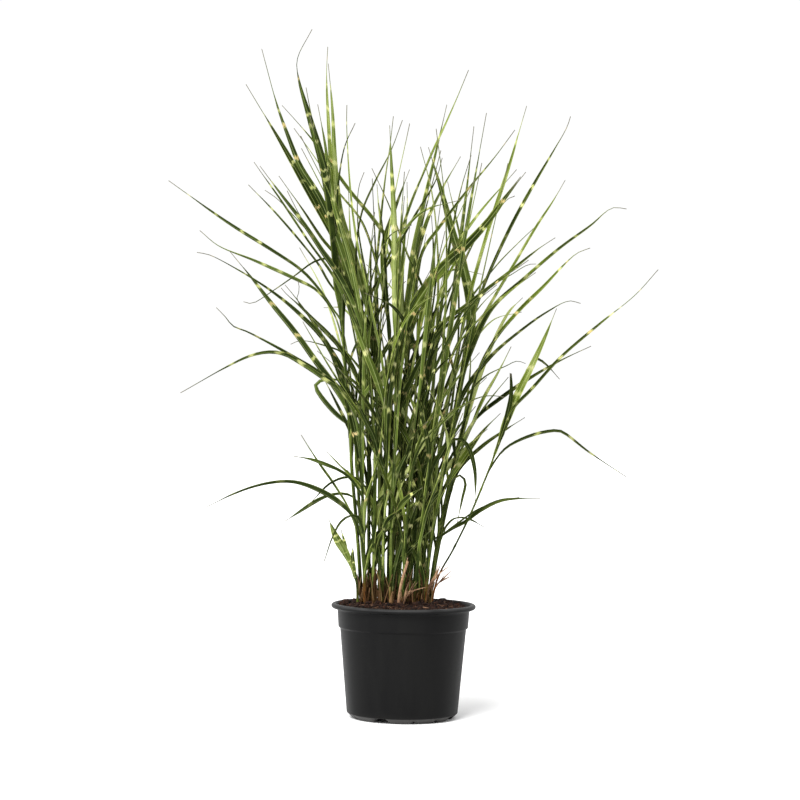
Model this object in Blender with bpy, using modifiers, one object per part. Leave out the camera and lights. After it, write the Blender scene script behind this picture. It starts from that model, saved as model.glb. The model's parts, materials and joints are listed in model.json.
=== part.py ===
"""A clump of zebra grass in a round black nursery pot.

Metres, +Z up. The origin is on the pot's axis, on the plane that the pot stands on, and the front is -Y.
The clump is a bundle of leafy shoots. Each shoot is one grown piece: a culm with its long blades.
"""

import math
import random
from typing import NamedTuple

import bmesh
import bpy
from mathutils import Matrix, Vector, noise
from mathutils.bvhtree import BVHTree

MM = 0.001
GAP = 0.0003  # clearance between neighbouring pieces

# The pot: radii and heights of its outside and inside.
POT_STEPS = 28
POT_WALL = 0.0020
POT_HEIGHT = 0.1496
BOSS_RADIUS = 0.020  # the flat middle of the underside
FOOT_INNER = 0.058
FOOT_OUTER = 0.065
FOOT_HEIGHT = 0.0065
BEVEL_RADIUS = 0.0730
BEVEL_HEIGHT = 0.0070
STEP_RADIUS = 0.0829  # the tapered wall's top, where the collar begins
STEP_HEIGHT = 0.1170
COLLAR_RADIUS = 0.0853
COLLAR_FOOT = 0.1190
COLLAR_TOP_RADIUS = 0.0868
COLLAR_TOP = 0.1415
LIP_RADIUS = 0.0950
LIP_INNER = 0.0880
LIP_THICKNESS = 0.0064
FLOOR_HEIGHT = 0.0085  # inside
NOTCH_WIDTH = 0.024
NOTCH_DIRECTIONS = (-114.0, -20.0, 66.0, 160.0)  # degrees round from +X

# The soil: radius and height of its surface, from the crown outwards.
SOIL_SURFACE = ((0.0, 0.1520), (0.026, 0.1512), (0.050, 0.1488), (0.068, 0.1462))
SOIL_EDGE = 0.1450
SOIL_ROUGHNESS = 0.0012
SOIL_GRAIN = 60.0  # lumps for each metre
FOOT_DEPTH = 0.1380  # height of the shoots' lower ends, sunk in the soil
SOCKET_LENGTH = 0.022

# The tables below give places in millimetres, as they are seen from EYE on the plane through the pot's axis.
EYE = Vector((-0.0084, -3.0, 0.417))
SEEN_STEPS = 8  # steps to a span on the smooth run of a stem or a blade
STEM_TOLERANCE = 0.0018  # how far a stem's straight stretches may leave its smooth run
BLADE_TOLERANCE = 0.0040
CLEARANCE = 0.0009  # how much wider and deeper a piece is taken when its way is tried
BASE_SHARE = 0.42  # a blade's width at its base, as a share of its full width
FULL_WIDTH_AT = 0.16  # how far along a blade is when it has its full width
TAPER = 0.72
TIP_WIDTH = 0.0007
KEEL = 0.15  # a blade's depth as a share of its width
LEAST_KEEL = 0.0005
DEPTH_SHIFTS = tuple(shift * MM for shift in (0, 14, -14, 28, -28, 44, -44, 62, -62, 82, -82, 104, -104, 130, -130))
BOWS = (0.0, 12 * MM, -12 * MM, 24 * MM, -24 * MM)
SEED = 7


class Stem(NamedTuple):
    """A culm: where it leaves the soil, places seen along it up to its top, and how deep its top lies."""

    foot: tuple
    seen: tuple
    depth: float
    radius: float


class Blade(NamedTuple):
    """A leaf blade: its shoot, the height where it leaves the culm, places seen along it up to its tip,
    the depth of its tip, its full width, and how far it is turned about its own length, in degrees."""

    shoot: int
    leaves_at: float
    seen: tuple
    depth: float
    width: float
    turn: float


STEMS = (
    Stem((-54, 0), ((-62, 240), (-70, 320), (-76, 400), (-86, 520), (-97, 620)), -30, 3.3),
    Stem((-50, -13), ((-54, 240), (-57, 320), (-61, 410)), -45, 3.0),
    Stem((-47, 13), ((-57, 240), (-64, 330), (-68, 390), (-70, 440)), 50, 3.0),
    Stem((-44, -2), ((-47, 240), (-48, 330), (-52, 420), (-61, 525)), -5, 3.2),
    Stem((-39, -18), ((-40, 240), (-40, 330), (-47, 430), (-63, 535)), -60, 3.2),
    Stem((-37, 17), ((-41, 240), (-48, 340), (-58, 440)), 60, 3.0),
    Stem((-32, 3), ((-33, 250), (-36, 360), (-42, 460), (-50, 545)), 12, 3.1),
    Stem((-29, -22), ((-27, 250), (-26, 350), (-29, 455)), -70, 3.0),
    Stem((-26, 25), ((-29, 250), (-33, 360), (-38, 480)), 80, 3.0),
    Stem((-21, -6), ((-20, 260), (-19, 380), (-24, 525)), -20, 3.2),
    Stem((-17, -25), ((-17, 260), (-14, 380), (-14, 480)), -75, 3.0),
    Stem((-15, 12), ((-15, 260), (-14, 400), (-13, 560)), 40, 3.2),
    Stem((-11, 29), ((-9, 260), (-4, 400), (0, 505)), 85, 3.0),
    Stem((-7, -10), ((-6, 250), (-3, 350), (3, 435)), -45, 3.1),
    Stem((-2, -27), ((2, 240), (8, 330), (14, 405)), -80, 2.9),
    Stem((-1, 8), ((3, 250), (8, 360), (14, 465)), 20, 3.1),
    Stem((4, 25), ((8, 250), (14, 350), (22, 445)), 75, 3.0),
    Stem((6, -12), ((13, 240), (20, 330), (27, 420), (32, 505)), -35, 3.2),
    Stem((11, 4), ((18, 240), (26, 340), (36, 445)), 5, 3.0),
    Stem((13, -25), ((20, 230), (30, 320), (41, 405)), -75, 2.9),
    Stem((17, 19), ((25, 240), (36, 350), (48, 455)), 60, 3.0),
    Stem((19, -8), ((28, 230), (40, 320), (53, 400), (66, 475)), -30, 3.1),
    Stem((24, 9), ((33, 220), (46, 310), (60, 390), (75, 460)), 30, 3.0),
    Stem((26, -18), ((34, 220), (45, 290), (58, 360), (70, 425)), -65, 2.9),
    Stem((31, 1), ((40, 210), (52, 280), (67, 350), (83, 415)), -10, 2.9),
    Stem((34, -11), ((45, 185), (64, 221), (88, 272), (112, 333), (129, 380)), -45, 2.0),
    Stem((32, 16), ((41, 200), (50, 250), (60, 300), (75, 360)), 55, 2.7),
)

BLADES = (
    # The tall group on the left.
    Blade(1, 590, ((-112, 715), (-133, 787), (-148, 838), (-150, 863), (-131, 903)), -60, 12, 50),
    Blade(1, 505, ((-98, 536), (-120, 563), (-140, 584), (-180, 611), (-240, 648), (-317, 701)), -10, 9, 10),
    Blade(1, 485, ((-97, 528), (-120, 558), (-150, 574), (-200, 596), (-250, 616), (-275, 636)), 60, 8, 0),
    Blade(1, 606, ((-110, 690), (-125, 760), (-138, 826)), 10, 7, 20),
    Blade(4, 500, ((-84, 600), (-105, 640), (-123, 672), (-170, 753), (-217, 829)), -20, 14, -60),
    Blade(5, 515, ((-85, 600), (-115, 675), (-145, 724), (-160, 760), (-175, 800), (-197, 876)), -80, 12, 50),
    Blade(12, 470, ((-20, 610), (-45, 650), (-80, 692), (-117, 743), (-145, 776), (-169, 802)), -60, 8, 10),
    Blade(10, 500, ((-60, 645), (-95, 690), (-123, 731), (-153, 772)), 60, 7, 0),
    Blade(7, 528, ((-70, 600), (-100, 665), (-125, 713), (-143, 746)), 100, 7, 15),
    Blade(5, 480, ((-75, 590), (-100, 680), (-112, 755), (-122, 804)), -120, 8, 30),
    Blade(4, 450, ((-80, 560), (-98, 650), (-106, 750), (-111, 840), (-110, 880)), 30, 9, -35),
    Blade(7, 500, ((-70, 600), (-90, 660), (-98, 720), (-103, 800), (-109, 858)), -50, 10, 45),
    Blade(8, 440, ((-50, 540), (-70, 630), (-79, 700), (-84, 780), (-84, 804)), -110, 10, -40),
    Blade(9, 465, ((-52, 560), (-67, 640), (-67, 695), (-60, 716)), 100, 6, 10),
    Blade(4, 470, ((-84, 575), (-103, 600), (-122, 597), (-150, 577), (-180, 556), (-205, 541), (-216, 543)), -50, 8, 15),
    Blade(4, 515, ((-105, 570), (-120, 595), (-165, 648), (-190, 675), (-212, 697)), 80, 8, 10),
    Blade(5, 455, ((-92, 565), (-135, 627), (-175, 685), (-190, 706), (-205, 727)), -30, 10, 30),
    Blade(5, 500, ((-90, 575), (-112, 607), (-140, 648), (-165, 680), (-197, 722)), -100, 9, 10),
    Blade(9, 420, ((-75, 560), (-110, 610), (-150, 655), (-175, 680), (-190, 690)), 130, 6, 0),
    Blade(7, 470, ((-85, 590), (-115, 628), (-140, 665), (-172, 709)), 40, 7, -10),
    Blade(6, 425, ((-90, 575), (-120, 622), (-145, 660), (-161, 690)), 100, 6, 0),
    # The left side, half way up.
    Blade(3, 400, ((-105, 487), (-140, 525), (-180, 557), (-230, 588), (-262, 604), (-278, 607)), -70, 9, 15),
    Blade(3, 370, ((-95, 430), (-120, 463), (-152, 507), (-180, 541), (-208, 577), (-235, 609)), 30, 12, 40),
    Blade(2, 345, ((-80, 419), (-110, 443), (-140, 463), (-160, 474), (-180, 477), (-205, 472), (-240, 455), (-297, 422)),
          -90, 9, 20),
    Blade(2, 375, ((-85, 425), (-115, 449), (-150, 470), (-170, 482), (-210, 503), (-230, 511), (-240, 523), (-252, 535)),
          -40, 7, 0),
    Blade(6, 400, ((-72, 455), (-85, 477), (-110, 487), (-140, 493), (-153, 488)), 70, 5, 0),
    Blade(2, 390, ((-80, 425), (-100, 455), (-120, 488), (-138, 518)), -20, 6, 10),
    Blade(6, 420, ((-85, 480), (-115, 512), (-145, 541), (-160, 554), (-167, 562)), 20, 7, 10),
    Blade(3, 425, ((-90, 465), (-110, 495), (-130, 525), (-150, 552), (-162, 566)), 90, 6, 0),
    Blade(6, 432, ((-97, 495), (-130, 528), (-146, 547), (-143, 560), (-145, 572)), -10, 5, 0),
    Blade(4, 340, ((-65, 372), (-95, 398), (-117, 425), (-121, 434), (-115, 441), (-100, 444), (-80, 440), (-58, 428)),
          -30, 9, 10),
    # The left side, low down.
    Blade(2, 225, ((-66, 257), (-85, 278), (-115, 296), (-150, 306), (-185, 303), (-225, 290), (-260, 273)), -20, 8, 10),
    Blade(3, 262, ((-66, 288), (-82, 292), (-110, 285), (-158, 255)), 60, 6, 0),
    Blade(2, 285, ((-75, 314), (-105, 330), (-125, 337), (-148, 341)), -60, 7, 10),
    Blade(1, 245, ((-75, 275), (-95, 305), (-115, 333), (-138, 369)), 20, 7, 10),
    Blade(4, 288, ((-62, 312), (-80, 313), (-100, 304), (-123, 281)), -40, 6, 10),
    Blade(2, 300, ((-75, 318), (-90, 333), (-104, 347)), 40, 7, 0),
    Blade(2, 238, ((-65, 264), (-80, 258), (-92, 240), (-105, 203)), -90, 5, 0),
    Blade(2, 232, ((-50, 285), (-42, 312), (-34, 345), (-28, 420)), -80, 8, 40),
    # The middle.
    Blade(4, 508, ((-68, 600), (-62, 660), (-45, 702), (-25, 743), (-10, 785)), -40, 7, 20),
    Blade(11, 465, ((-16, 560), (-19, 650), (-23, 710), (-27, 778)), -90, 9, 35),
    Blade(9, 440, ((-42, 560), (-37, 640), (-31, 710), (-26, 750), (-22, 790)), 60, 10, 45),
    Blade(12, 545, ((-25, 600), (-38, 650), (-43, 700)), 90, 8, 40),
    Blade(19, 425, ((34, 490), (20, 560), (-3, 610), (-28, 675), (-50, 721)), 20, 7, 10),
    Blade(10, 510, ((-32, 580), (-33, 622), (-18, 670), (0, 720)), -10, 8, 15),
    Blade(13, 480, ((-8, 560), (-5, 620), (-2, 670), (-3, 704)), 60, 8, 40),
    Blade(12, 500, ((-12, 580), (-9, 640), (-6, 685)), -50, 7, 10),
    Blade(11, 440, ((-8, 495), (0, 520), (12, 545), (45, 592), (72, 618), (105, 655), (130, 690), (153, 719)), -70, 13, 55),
    Blade(12, 540, ((-16, 600), (0, 665), (28, 737), (50, 787), (76, 852)), -30, 9, 35),
    Blade(13, 495, ((6, 600), (18, 665), (31, 725), (48, 806)), 70, 9, -40),
    Blade(14, 425, ((5, 520), (20, 612), (40, 642), (80, 697), (110, 735), (138, 774)), -90, 10, 30),
    Blade(7, 510, ((-48, 552), (-20, 605), (8, 658), (35, 706), (43, 736)), -100, 9, 30),
    Blade(13, 460, ((2, 560), (22, 645), (42, 692), (67, 738)), 110, 9, 10),
    Blade(16, 450, ((22, 540), (48, 595), (90, 660), (120, 697), (141, 722)), 50, 8, 10),
    Blade(15, 395, ((24, 470), (36, 560), (40, 600), (48, 640)), -110, 9, 40),
    Blade(17, 430, ((26, 500), (32, 560), (34, 600), (30, 660)), 100, 9, -30),
    # The right side, high up.
    Blade(23, 448, ((83, 530), (76, 580), (57, 640), (42, 692), (24, 750)), 20, 12, 45),
    Blade(23, 425, ((80, 560), (66, 635), (50, 705)), 90, 8, 20),
    Blade(19, 430, ((48, 560), (58, 640), (69, 698), (81, 740)), -60, 8, 20),
    Blade(22, 462, ((80, 540), (92, 590), (110, 655), (130, 722), (143, 770), (153, 806)), -50, 12, 50),
    Blade(18, 492, ((45, 560), (75, 618), (110, 658), (130, 683), (139, 687)), -20, 7, 10),
    Blade(22, 430, ((82, 510), (103, 573), (135, 645), (167, 707), (190, 748), (207, 780), (211, 793)), -80, 11, 30),
    Blade(23, 430, ((88, 500), (115, 553), (142, 600), (170, 650), (190, 682), (205, 709)), 40, 9, 20),
    Blade(21, 440, ((66, 520), (112, 590), (150, 631), (172, 652)), 110, 7, 0),
    Blade(18, 450, ((42, 508), (80, 543), (130, 583), (165, 613), (178, 623), (193, 633)), -100, 10, 20),
    Blade(21, 410, ((60, 500), (100, 560), (135, 583), (158, 597), (168, 598)), 140, 6, 0),
    Blade(24, 412, ((82, 470), (112, 537), (155, 579), (200, 619), (240, 650), (267, 673), (286, 672)), -60, 10, 15),
    Blade(25, 400, ((97, 460), (120, 502), (150, 538), (180, 569), (205, 597), (222, 613), (239, 620)), -30, 10, 25),
    Blade(20, 392, ((62, 480), (100, 530), (140, 566), (168, 587)), -130, 7, 0),
    # The right side, low down.
    Blade(24, 370, ((75, 425), (108, 472), (150, 510), (185, 536), (212, 550), (227, 547)), 80, 8, 0),
    Blade(26, 368, ((140, 405), (165, 432), (200, 472), (255, 522), (300, 560), (329, 593)), -90, 10, 20),
    Blade(26, 350, ((143, 418), (163, 462), (180, 500), (196, 540)), 10, 11, 50),
    Blade(27, 345, ((88, 387), (130, 424), (175, 455), (215, 478), (242, 491)), -10, 9, 20),
    Blade(26, 362, ((148, 430), (162, 465), (171, 473), (183, 466), (201, 447)), 60, 7, 0),
    Blade(25, 350, ((84, 378), (103, 420), (120, 453), (137, 489)), -70, 11, 45),
    Blade(24, 352, ((80, 422), (105, 450), (130, 463), (145, 470), (156, 467)), 60, 6, 0),
    Blade(26, 372, ((133, 400), (137, 425), (136, 454)), -20, 8, 60),
    Blade(27, 350, ((90, 388), (115, 425), (134, 449)), 100, 7, 0),
    Blade(20, 370, ((60, 400), (95, 421), (115, 424), (129, 422)), -120, 5, 0),
    Blade(26, 325, ((130, 353), (165, 372), (198, 379), (206, 377), (240, 352), (290, 320)), -30, 7, 10),
    Blade(22, 222, ((52, 242), (90, 270), (122, 286), (150, 291)), -110, 7, 10),
    Blade(25, 232, ((60, 247), (80, 256), (100, 272), (125, 285), (150, 289), (178, 290)), -50, 8, 0),
    Blade(27, 240, ((65, 262), (85, 261), (105, 251)), 60, 5, 0),
    Blade(24, 330, ((58, 356), (69, 367), (82, 355), (91, 326), (92, 284)), -65, 6, 15),
    Blade(25, 288, ((62, 312), (72, 318), (78, 310), (75, 290), (69, 257)), -20, 5, 0),
    Blade(24, 285, ((62, 318), (82, 350), (105, 381), (124, 401)), 20, 9, 15),
    Blade(27, 288, ((70, 325), (100, 357), (130, 379), (156, 396)), 120, 6, 0),
)

# The young shoots: short stems with broad blades.
YOUNG_STEMS = (
    Stem((-60, -9), ((-62, 177), (-67, 191), (-72, 203)), -24, 2.4),
    Stem((14, 34), ((18, 190), (22, 215)), 42, 2.2),
)
YOUNG_BLADES = (
    Blade(1, 198, ((-80, 217), (-90, 236), (-100, 259)), -50, 12, 60),
    Blade(1, 196, ((-77, 220), (-84, 246)), -20, 9, 50),
    Blade(1, 186, ((-68, 205), (-67, 225)), -30, 7, 50),
    Blade(2, 208, ((28, 250), (40, 300)), 95, 10, 20),
    Blade(2, 205, ((16, 245), (4, 285)), 105, 9, 10),
)

# The dry stalks: dead stumps of last year's growth.
DRY_STALKS = (
    Stem((-8, -37), ((-4, 172), (5, 206)), -42, 2.1),
    Stem((-26, -14), ((-27, 165), (-29, 187)), -15, 2.4),
    Stem((-4, -32), ((4, 159), (13, 168)), -44, 1.1),
    Stem((26, -9), ((33, 172), (44, 187)), -22, 1.8),
    Stem((36, -3), ((41, 170), (53, 185)), 0, 1.4),
)

# The blades of the front and the back, which follow a rule: for each shoot, so many blades, seeded.
FILL_BLADES = (1, 2, 2, 1, 2, 3, 2, 3, 3, 2, 3, 1, 2, 2, 3, 2, 3, 2, 2, 3, 2, 1, 1, 1, 1, 0, 1)
FILL_LENGTHS = (0.24, 0.50)
FILL_WIDTHS = (0.007, 0.012)
FILL_SWING = 42.0  # degrees to either side of straight forwards or backwards
FILL_TRIES = 40
FILL_POINTS = 4
FILL_TOP = 0.78  # no such blade rises higher
FILL_REACH = 0.17  # nor farther to either side


def metres(place):
    """A place of the tables, in metres."""
    return [value * MM for value in place]


def at_depth(seen, depth):
    """The point at that depth which is seen from EYE at the place (x, z)."""
    x, z = metres(seen)
    return EYE + (Vector((x, 0.0, z)) - EYE) * ((depth - EYE.y) / -EYE.y)


def smooth(points, steps=SEEN_STEPS):
    """A centripetal Catmull-Rom run through the points, with so many steps to a span."""
    ends = [2 * points[0] - points[1], *points, 2 * points[-1] - points[-2]]
    run = [points[0]]
    for a, b, c, d in zip(ends, ends[1:], ends[2:], ends[3:]):
        t1 = (b - a).length ** 0.5
        t2 = t1 + (c - b).length ** 0.5
        t3 = t2 + (d - c).length ** 0.5
        for step in range(1, steps + 1):
            t = t1 + (t2 - t1) * step / steps
            first, middle, last = a.lerp(b, t / t1), b.lerp(c, (t - t1) / (t2 - t1)), c.lerp(d, (t - t2) / (t3 - t2))
            left, right = first.lerp(middle, t / t2), middle.lerp(last, (t - t1) / (t3 - t1))
            run.append(left.lerp(right, (t - t1) / (t2 - t1)))
    return run


def thinned(run, tolerance):
    """The indices of the points that keep the run's shape within the tolerance."""
    first, last = 0, len(run) - 1
    kept = {first, last}
    spans = [(first, last)]
    while spans:
        start, end = spans.pop()
        chord = run[end] - run[start]
        farthest, distance = None, tolerance
        for index in range(start + 1, end):
            share = (run[index] - run[start]).dot(chord) / chord.length_squared
            away = (run[index] - run[start] - chord * share).length
            if away > distance:
                farthest, distance = index, away
        if farthest is not None:
            kept.add(farthest)
            spans += [(start, farthest), (farthest, end)]
    return sorted(kept)


def stem_run(stem, depth):
    """The smooth run of a culm's axis, from its sunk foot to its top at that depth."""
    foot = Vector((*metres(stem.foot), FOOT_DEPTH))
    top = stem.seen[-1][1] * MM
    points = [foot]
    for place in stem.seen:
        rise = (place[1] * MM - FOOT_DEPTH) / (top - FOOT_DEPTH)
        points.append(at_depth(place, foot.y + (depth - foot.y) * rise**1.2))
    return smooth(points)


def height_index(run, height):
    """The index of the first point of the run at that height or above it."""
    return next((index for index, point in enumerate(run) if point.z >= height), len(run) - 2)


def blade_run(run, blade, depth, bow):
    """The smooth run of a blade's keel: off the culm's axis and out to its tip at that depth."""
    start = max(1, min(height_index(run, blade.leaves_at * MM), len(run) - 2))
    base = run[start]
    points = [run[start - 1], base]
    lengths = [0.0]
    previous = Vector((base.x, base.z))
    for place in blade.seen:
        now = Vector(metres(place))
        lengths.append(lengths[-1] + (now - previous).length)
        previous = now
    for place, length in zip(blade.seen, lengths[1:]):
        share = length / lengths[-1]
        across = base.y + (depth - base.y) * share**1.3 + bow * math.sin(math.pi * share)
        points.append(at_depth(place, across))
    return smooth(points)[SEEN_STEPS:]


def fill_run(run, direction, length, leaves_at, tip_slope):
    """The smooth run of a blade that rises along its culm and bends over in the given direction."""
    start = max(1, min(int(leaves_at * (len(run) - 1)), len(run) - 2))
    heading = Vector((math.cos(direction), math.sin(direction), 0.0))
    along = (run[start + 1] - run[start - 1]).normalized()
    over = heading * math.cos(tip_slope) + Vector((0.0, 0.0, math.sin(tip_slope)))
    points = [run[start - 1], run[start]]
    for step in range(FILL_POINTS):
        share = ((step + 0.5) / FILL_POINTS) ** 1.2
        points.append(points[-1] + along.slerp(over, share) * length / FILL_POINTS)
    return smooth(points)[SEEN_STEPS:]


def blade_width(share, width):
    """The width of a blade at that share of its length."""
    opening = BASE_SHARE + (1 - BASE_SHARE) * min(1.0, share / FULL_WIDTH_AT)
    return max(TIP_WIDTH, width * opening * (1 - share) ** TAPER)


def blade_sections(run, width, turn, extra=0.0):
    """The three corners of a blade at each kept point of its run: both edges and the keel below them."""
    reach = max((point.xy - run[0].xy for point in run), key=lambda flat: flat.length)
    sideways = Vector((-reach.y, reach.x, 0.0)).normalized()
    lengths = [0.0]
    for here, there in zip(run, run[1:]):
        lengths.append(lengths[-1] + (there - here).length)
    sections = []
    for index in thinned(run, BLADE_TOLERANCE):
        along = (run[min(index + 1, len(run) - 1)] - run[max(index - 1, 0)]).normalized()
        across = (sideways - along * sideways.dot(along)).normalized()
        across = Matrix.Rotation(math.radians(turn), 3, along) @ across
        down = across.cross(along)
        breadth = blade_width(lengths[index] / lengths[-1], width)
        keel = LEAST_KEEL + KEEL * breadth + extra
        half = across * (breadth + extra) / 2
        middle = run[index] - down * extra / 2
        sections.append((middle + half, middle - half, middle + down * keel))
    return sections


def blade_shape(sections):
    """A bmesh of a blade: its first section as a face, extruded from station to station."""
    shape = bmesh.new()
    start = face = shape.faces.new([shape.verts.new(corner) for corner in sections[0]])
    for section in sections[1:]:
        grown = bmesh.ops.extrude_face_region(shape, geom=[face])["geom"]
        if face != start:
            shape.faces.remove(face)
        face = next(item for item in grown if isinstance(item, bmesh.types.BMFace))
        for vertex, corner in zip(face.verts, section):
            vertex.co = corner
    bmesh.ops.recalc_face_normals(shape, faces=shape.faces)
    return shape


def new_collection(name):
    """A collection of that name, linked to the scene."""
    collection = bpy.data.collections.new(name)
    bpy.context.scene.collection.children.link(collection)
    return collection


def new_material(name, color, roughness, metallic=0.0):
    """A Principled material of one colour."""
    material = bpy.data.materials.new(name)
    material.use_nodes = True
    surface = material.node_tree.nodes["Principled BSDF"]
    surface.inputs["Base Color"].default_value = (*color, 1.0)
    surface.inputs["Roughness"].default_value = roughness
    surface.inputs["Metallic"].default_value = metallic
    return material


def add_object(name, data, collection, material=None):
    """An object of that data in the collection."""
    piece = bpy.data.objects.new(name, data)
    collection.objects.link(piece)
    if material:
        data.materials.clear()
        data.materials.append(material)
    return piece


def as_mesh(piece, name):
    """The piece with its modifiers applied, as a mesh object of that name in the same collection."""
    graph = bpy.context.evaluated_depsgraph_get()
    data = bpy.data.meshes.new_from_object(piece.evaluated_get(graph))
    matrix, collection = piece.matrix_world.copy(), piece.users_collection[0]
    bpy.data.objects.remove(piece)
    made = add_object(name, data, collection)
    made.matrix_world = matrix
    data.name = name
    return made


def welded(piece):
    """The piece, with the doubled points of its caps and seams joined."""
    shape = bmesh.new()
    shape.from_mesh(piece.data)
    bmesh.ops.remove_doubles(shape, verts=shape.verts, dist=1e-6)
    bmesh.ops.recalc_face_normals(shape, faces=shape.faces)
    shape.to_mesh(piece.data)
    shape.free()
    return piece


def hidden(piece):
    """The piece as a cutter: not rendered, drawn as wire."""
    piece.hide_render = True
    piece.display_type = "WIRE"
    return piece


def tube(name, points, radii, collection):
    """A six-sided tube through the points, as a closed mesh."""
    data = bpy.data.curves.new(name, "CURVE")
    data.dimensions = "3D"
    data.bevel_depth = 1.0
    data.bevel_resolution = 1
    data.use_fill_caps = True
    spline = data.splines.new("POLY")
    spline.points.add(len(points) - 1)
    for place, point, radius in zip(spline.points, points, radii):
        place.co = (*point, 1.0)
        place.radius = radius
    return welded(as_mesh(add_object(name, data, collection), name))


def stem_radius(height, stem, top):
    """The radius of a culm at that height: stout at the foot, slimmer where the last blade leaves it."""
    return stem.radius * MM * (1.12 - 0.42 * (height - FOOT_DEPTH) / (top - FOOT_DEPTH))


def stem_tube(name, run, stem, collection, extra=0.0):
    """A culm as a tube along its run."""
    points = [run[index] for index in thinned(run, STEM_TOLERANCE)]
    radii = [stem_radius(point.z, stem, run[-1].z) + extra for point in points]
    return tube(name, points, radii, collection)


def tree_of(piece):
    """The search tree of an object's mesh."""
    shape = bmesh.new()
    shape.from_mesh(piece.data)
    found = BVHTree.FromBMesh(shape)
    shape.free()
    return found


class Thicket:
    """The pieces placed so far, to find ways that stay clear of each other."""

    def __init__(self):
        self.trees = []

    def clear(self, tree, owner):
        """Whether nothing of another owner meets this tree."""
        return not any(other != owner and placed.overlap(tree) for other, placed in self.trees)

    def add(self, tree, owner):
        """Keeps a placed piece."""
        self.trees.append((owner, tree))


def socket(run, stem, collection):
    """The cutter of the hole in the soil that a stem stands in."""
    foot, bend = run[0], run[thinned(run, STEM_TOLERANCE)[1]]
    along = (bend - foot).normalized()
    ends = [foot - along * GAP, foot + along * SOCKET_LENGTH]
    rate = (stem_radius(bend.z, stem, run[-1].z) - stem_radius(foot.z, stem, run[-1].z)) / (bend - foot).length
    radii = [stem_radius(foot.z, stem, run[-1].z) + rate * (end - foot).dot(along) + GAP for end in ends]
    return hidden(tube("socket", ends, radii, collection))


def placed_stem(name, stem, thicket, owner, helpers):
    """A culm on the first way that is clear, and its run."""
    for shift in DEPTH_SHIFTS:
        run = stem_run(stem, stem.depth * MM + shift)
        trial = stem_tube("trial", run, stem, helpers, CLEARANCE / 2)
        tree = tree_of(trial)
        bpy.data.objects.remove(trial)
        if thicket.clear(tree, owner):
            break
    else:
        raise ValueError(name + " has no clear way")
    thicket.add(tree, owner)
    return stem_tube(name, run, stem, helpers), run


def placed_blade(runs, width, turn, thicket, owner):
    """The shape of a blade on the first of the runs that is clear, or None."""
    for run in runs:
        trial = blade_shape(blade_sections(run, width, turn, CLEARANCE))
        tree = BVHTree.FromBMesh(trial)
        trial.free()
        if thicket.clear(tree, owner):
            thicket.add(tree, owner)
            return blade_shape(blade_sections(run, width, turn))
    return None


def ways(run, blade):
    """The runs that a blade of the tables may take, the best first."""
    for bow in BOWS:
        for shift in DEPTH_SHIFTS:
            yield blade_run(run, blade, blade.depth * MM + shift, bow)


def fill_ways(run, rng):
    """The runs that a blade of the front or the back may take."""
    for _ in range(FILL_TRIES):
        forwards = rng.choice((-90.0, 90.0))
        direction = math.radians(forwards + rng.uniform(-FILL_SWING, FILL_SWING))
        length = rng.uniform(*FILL_LENGTHS)
        leaves_at = rng.uniform(0.45, 0.97)
        tip_slope = math.radians(rng.uniform(-15.0, 70.0))
        way = fill_run(run, direction, length, leaves_at, tip_slope)
        if max(point.z for point in way) < FILL_TOP and max(abs(point.x) for point in way) < FILL_REACH:
            yield way


def joined(stem, blades, name, collection, material):
    """The culm and its blades as one closed solid."""
    operands = new_collection("blades of " + name)
    for shape in blades:
        data = bpy.data.meshes.new("blade")
        shape.to_mesh(data)
        shape.free()
        add_object("blade", data, operands)
    union = stem.modifiers.new("blades", "BOOLEAN")
    union.operation = "UNION"
    union.solver = "EXACT"
    union.operand_type = "COLLECTION"
    union.collection = operands
    whole = as_mesh(stem, name)
    for blade in list(operands.objects):
        bpy.data.objects.remove(blade)
    bpy.data.collections.remove(operands)
    whole.users_collection[0].objects.unlink(whole)
    collection.objects.link(whole)
    whole.data.materials.clear()
    whole.data.materials.append(material)
    return whole


def notch_cutter(direction, collection):
    """The cutter of one drainage notch, which slopes at both ends."""
    shape = bmesh.new()
    bmesh.ops.create_cube(shape, size=1.0)
    reach, height = 0.030, 2 * FOOT_HEIGHT
    for vertex in shape.verts:
        narrow = 0.6 if vertex.co.z > 0 else 1.0
        vertex.co.x = FOOT_INNER + 0.001 + (vertex.co.x + 0.5) * reach
        vertex.co.y *= NOTCH_WIDTH * narrow
        vertex.co.z *= height
    bmesh.ops.rotate(shape, verts=shape.verts, matrix=Matrix.Rotation(math.radians(direction), 3, "Z"))
    data = bpy.data.meshes.new("notch")
    shape.to_mesh(data)
    shape.free()
    return hidden(add_object("notch", data, collection))


def turned(name, profile, collection, material):
    """A solid turned about the Z axis from a profile that runs down its outer side."""
    data = bpy.data.meshes.new(name)
    edges = [(index, index + 1) for index in range(len(profile) - 1)]
    data.from_pydata([(radius, 0.0, height) for radius, height in profile], edges, [])
    piece = add_object(name, data, collection, material)
    screw = piece.modifiers.new("turn", "SCREW")
    screw.axis = "Z"
    screw.steps = screw.render_steps = POT_STEPS
    screw.use_merge_vertices = True
    screw.merge_threshold = 1e-5
    return piece


def pot_inside():
    """The pot's inside, from its floor up to the lip: radius and height."""
    return (
        (BEVEL_RADIUS - POT_WALL, FLOOR_HEIGHT),
        (STEP_RADIUS - POT_WALL, STEP_HEIGHT + POT_WALL / 2),
        (COLLAR_RADIUS - POT_WALL, COLLAR_FOOT + POT_WALL / 2),
        (COLLAR_TOP_RADIUS - POT_WALL, COLLAR_TOP),
    )


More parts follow.
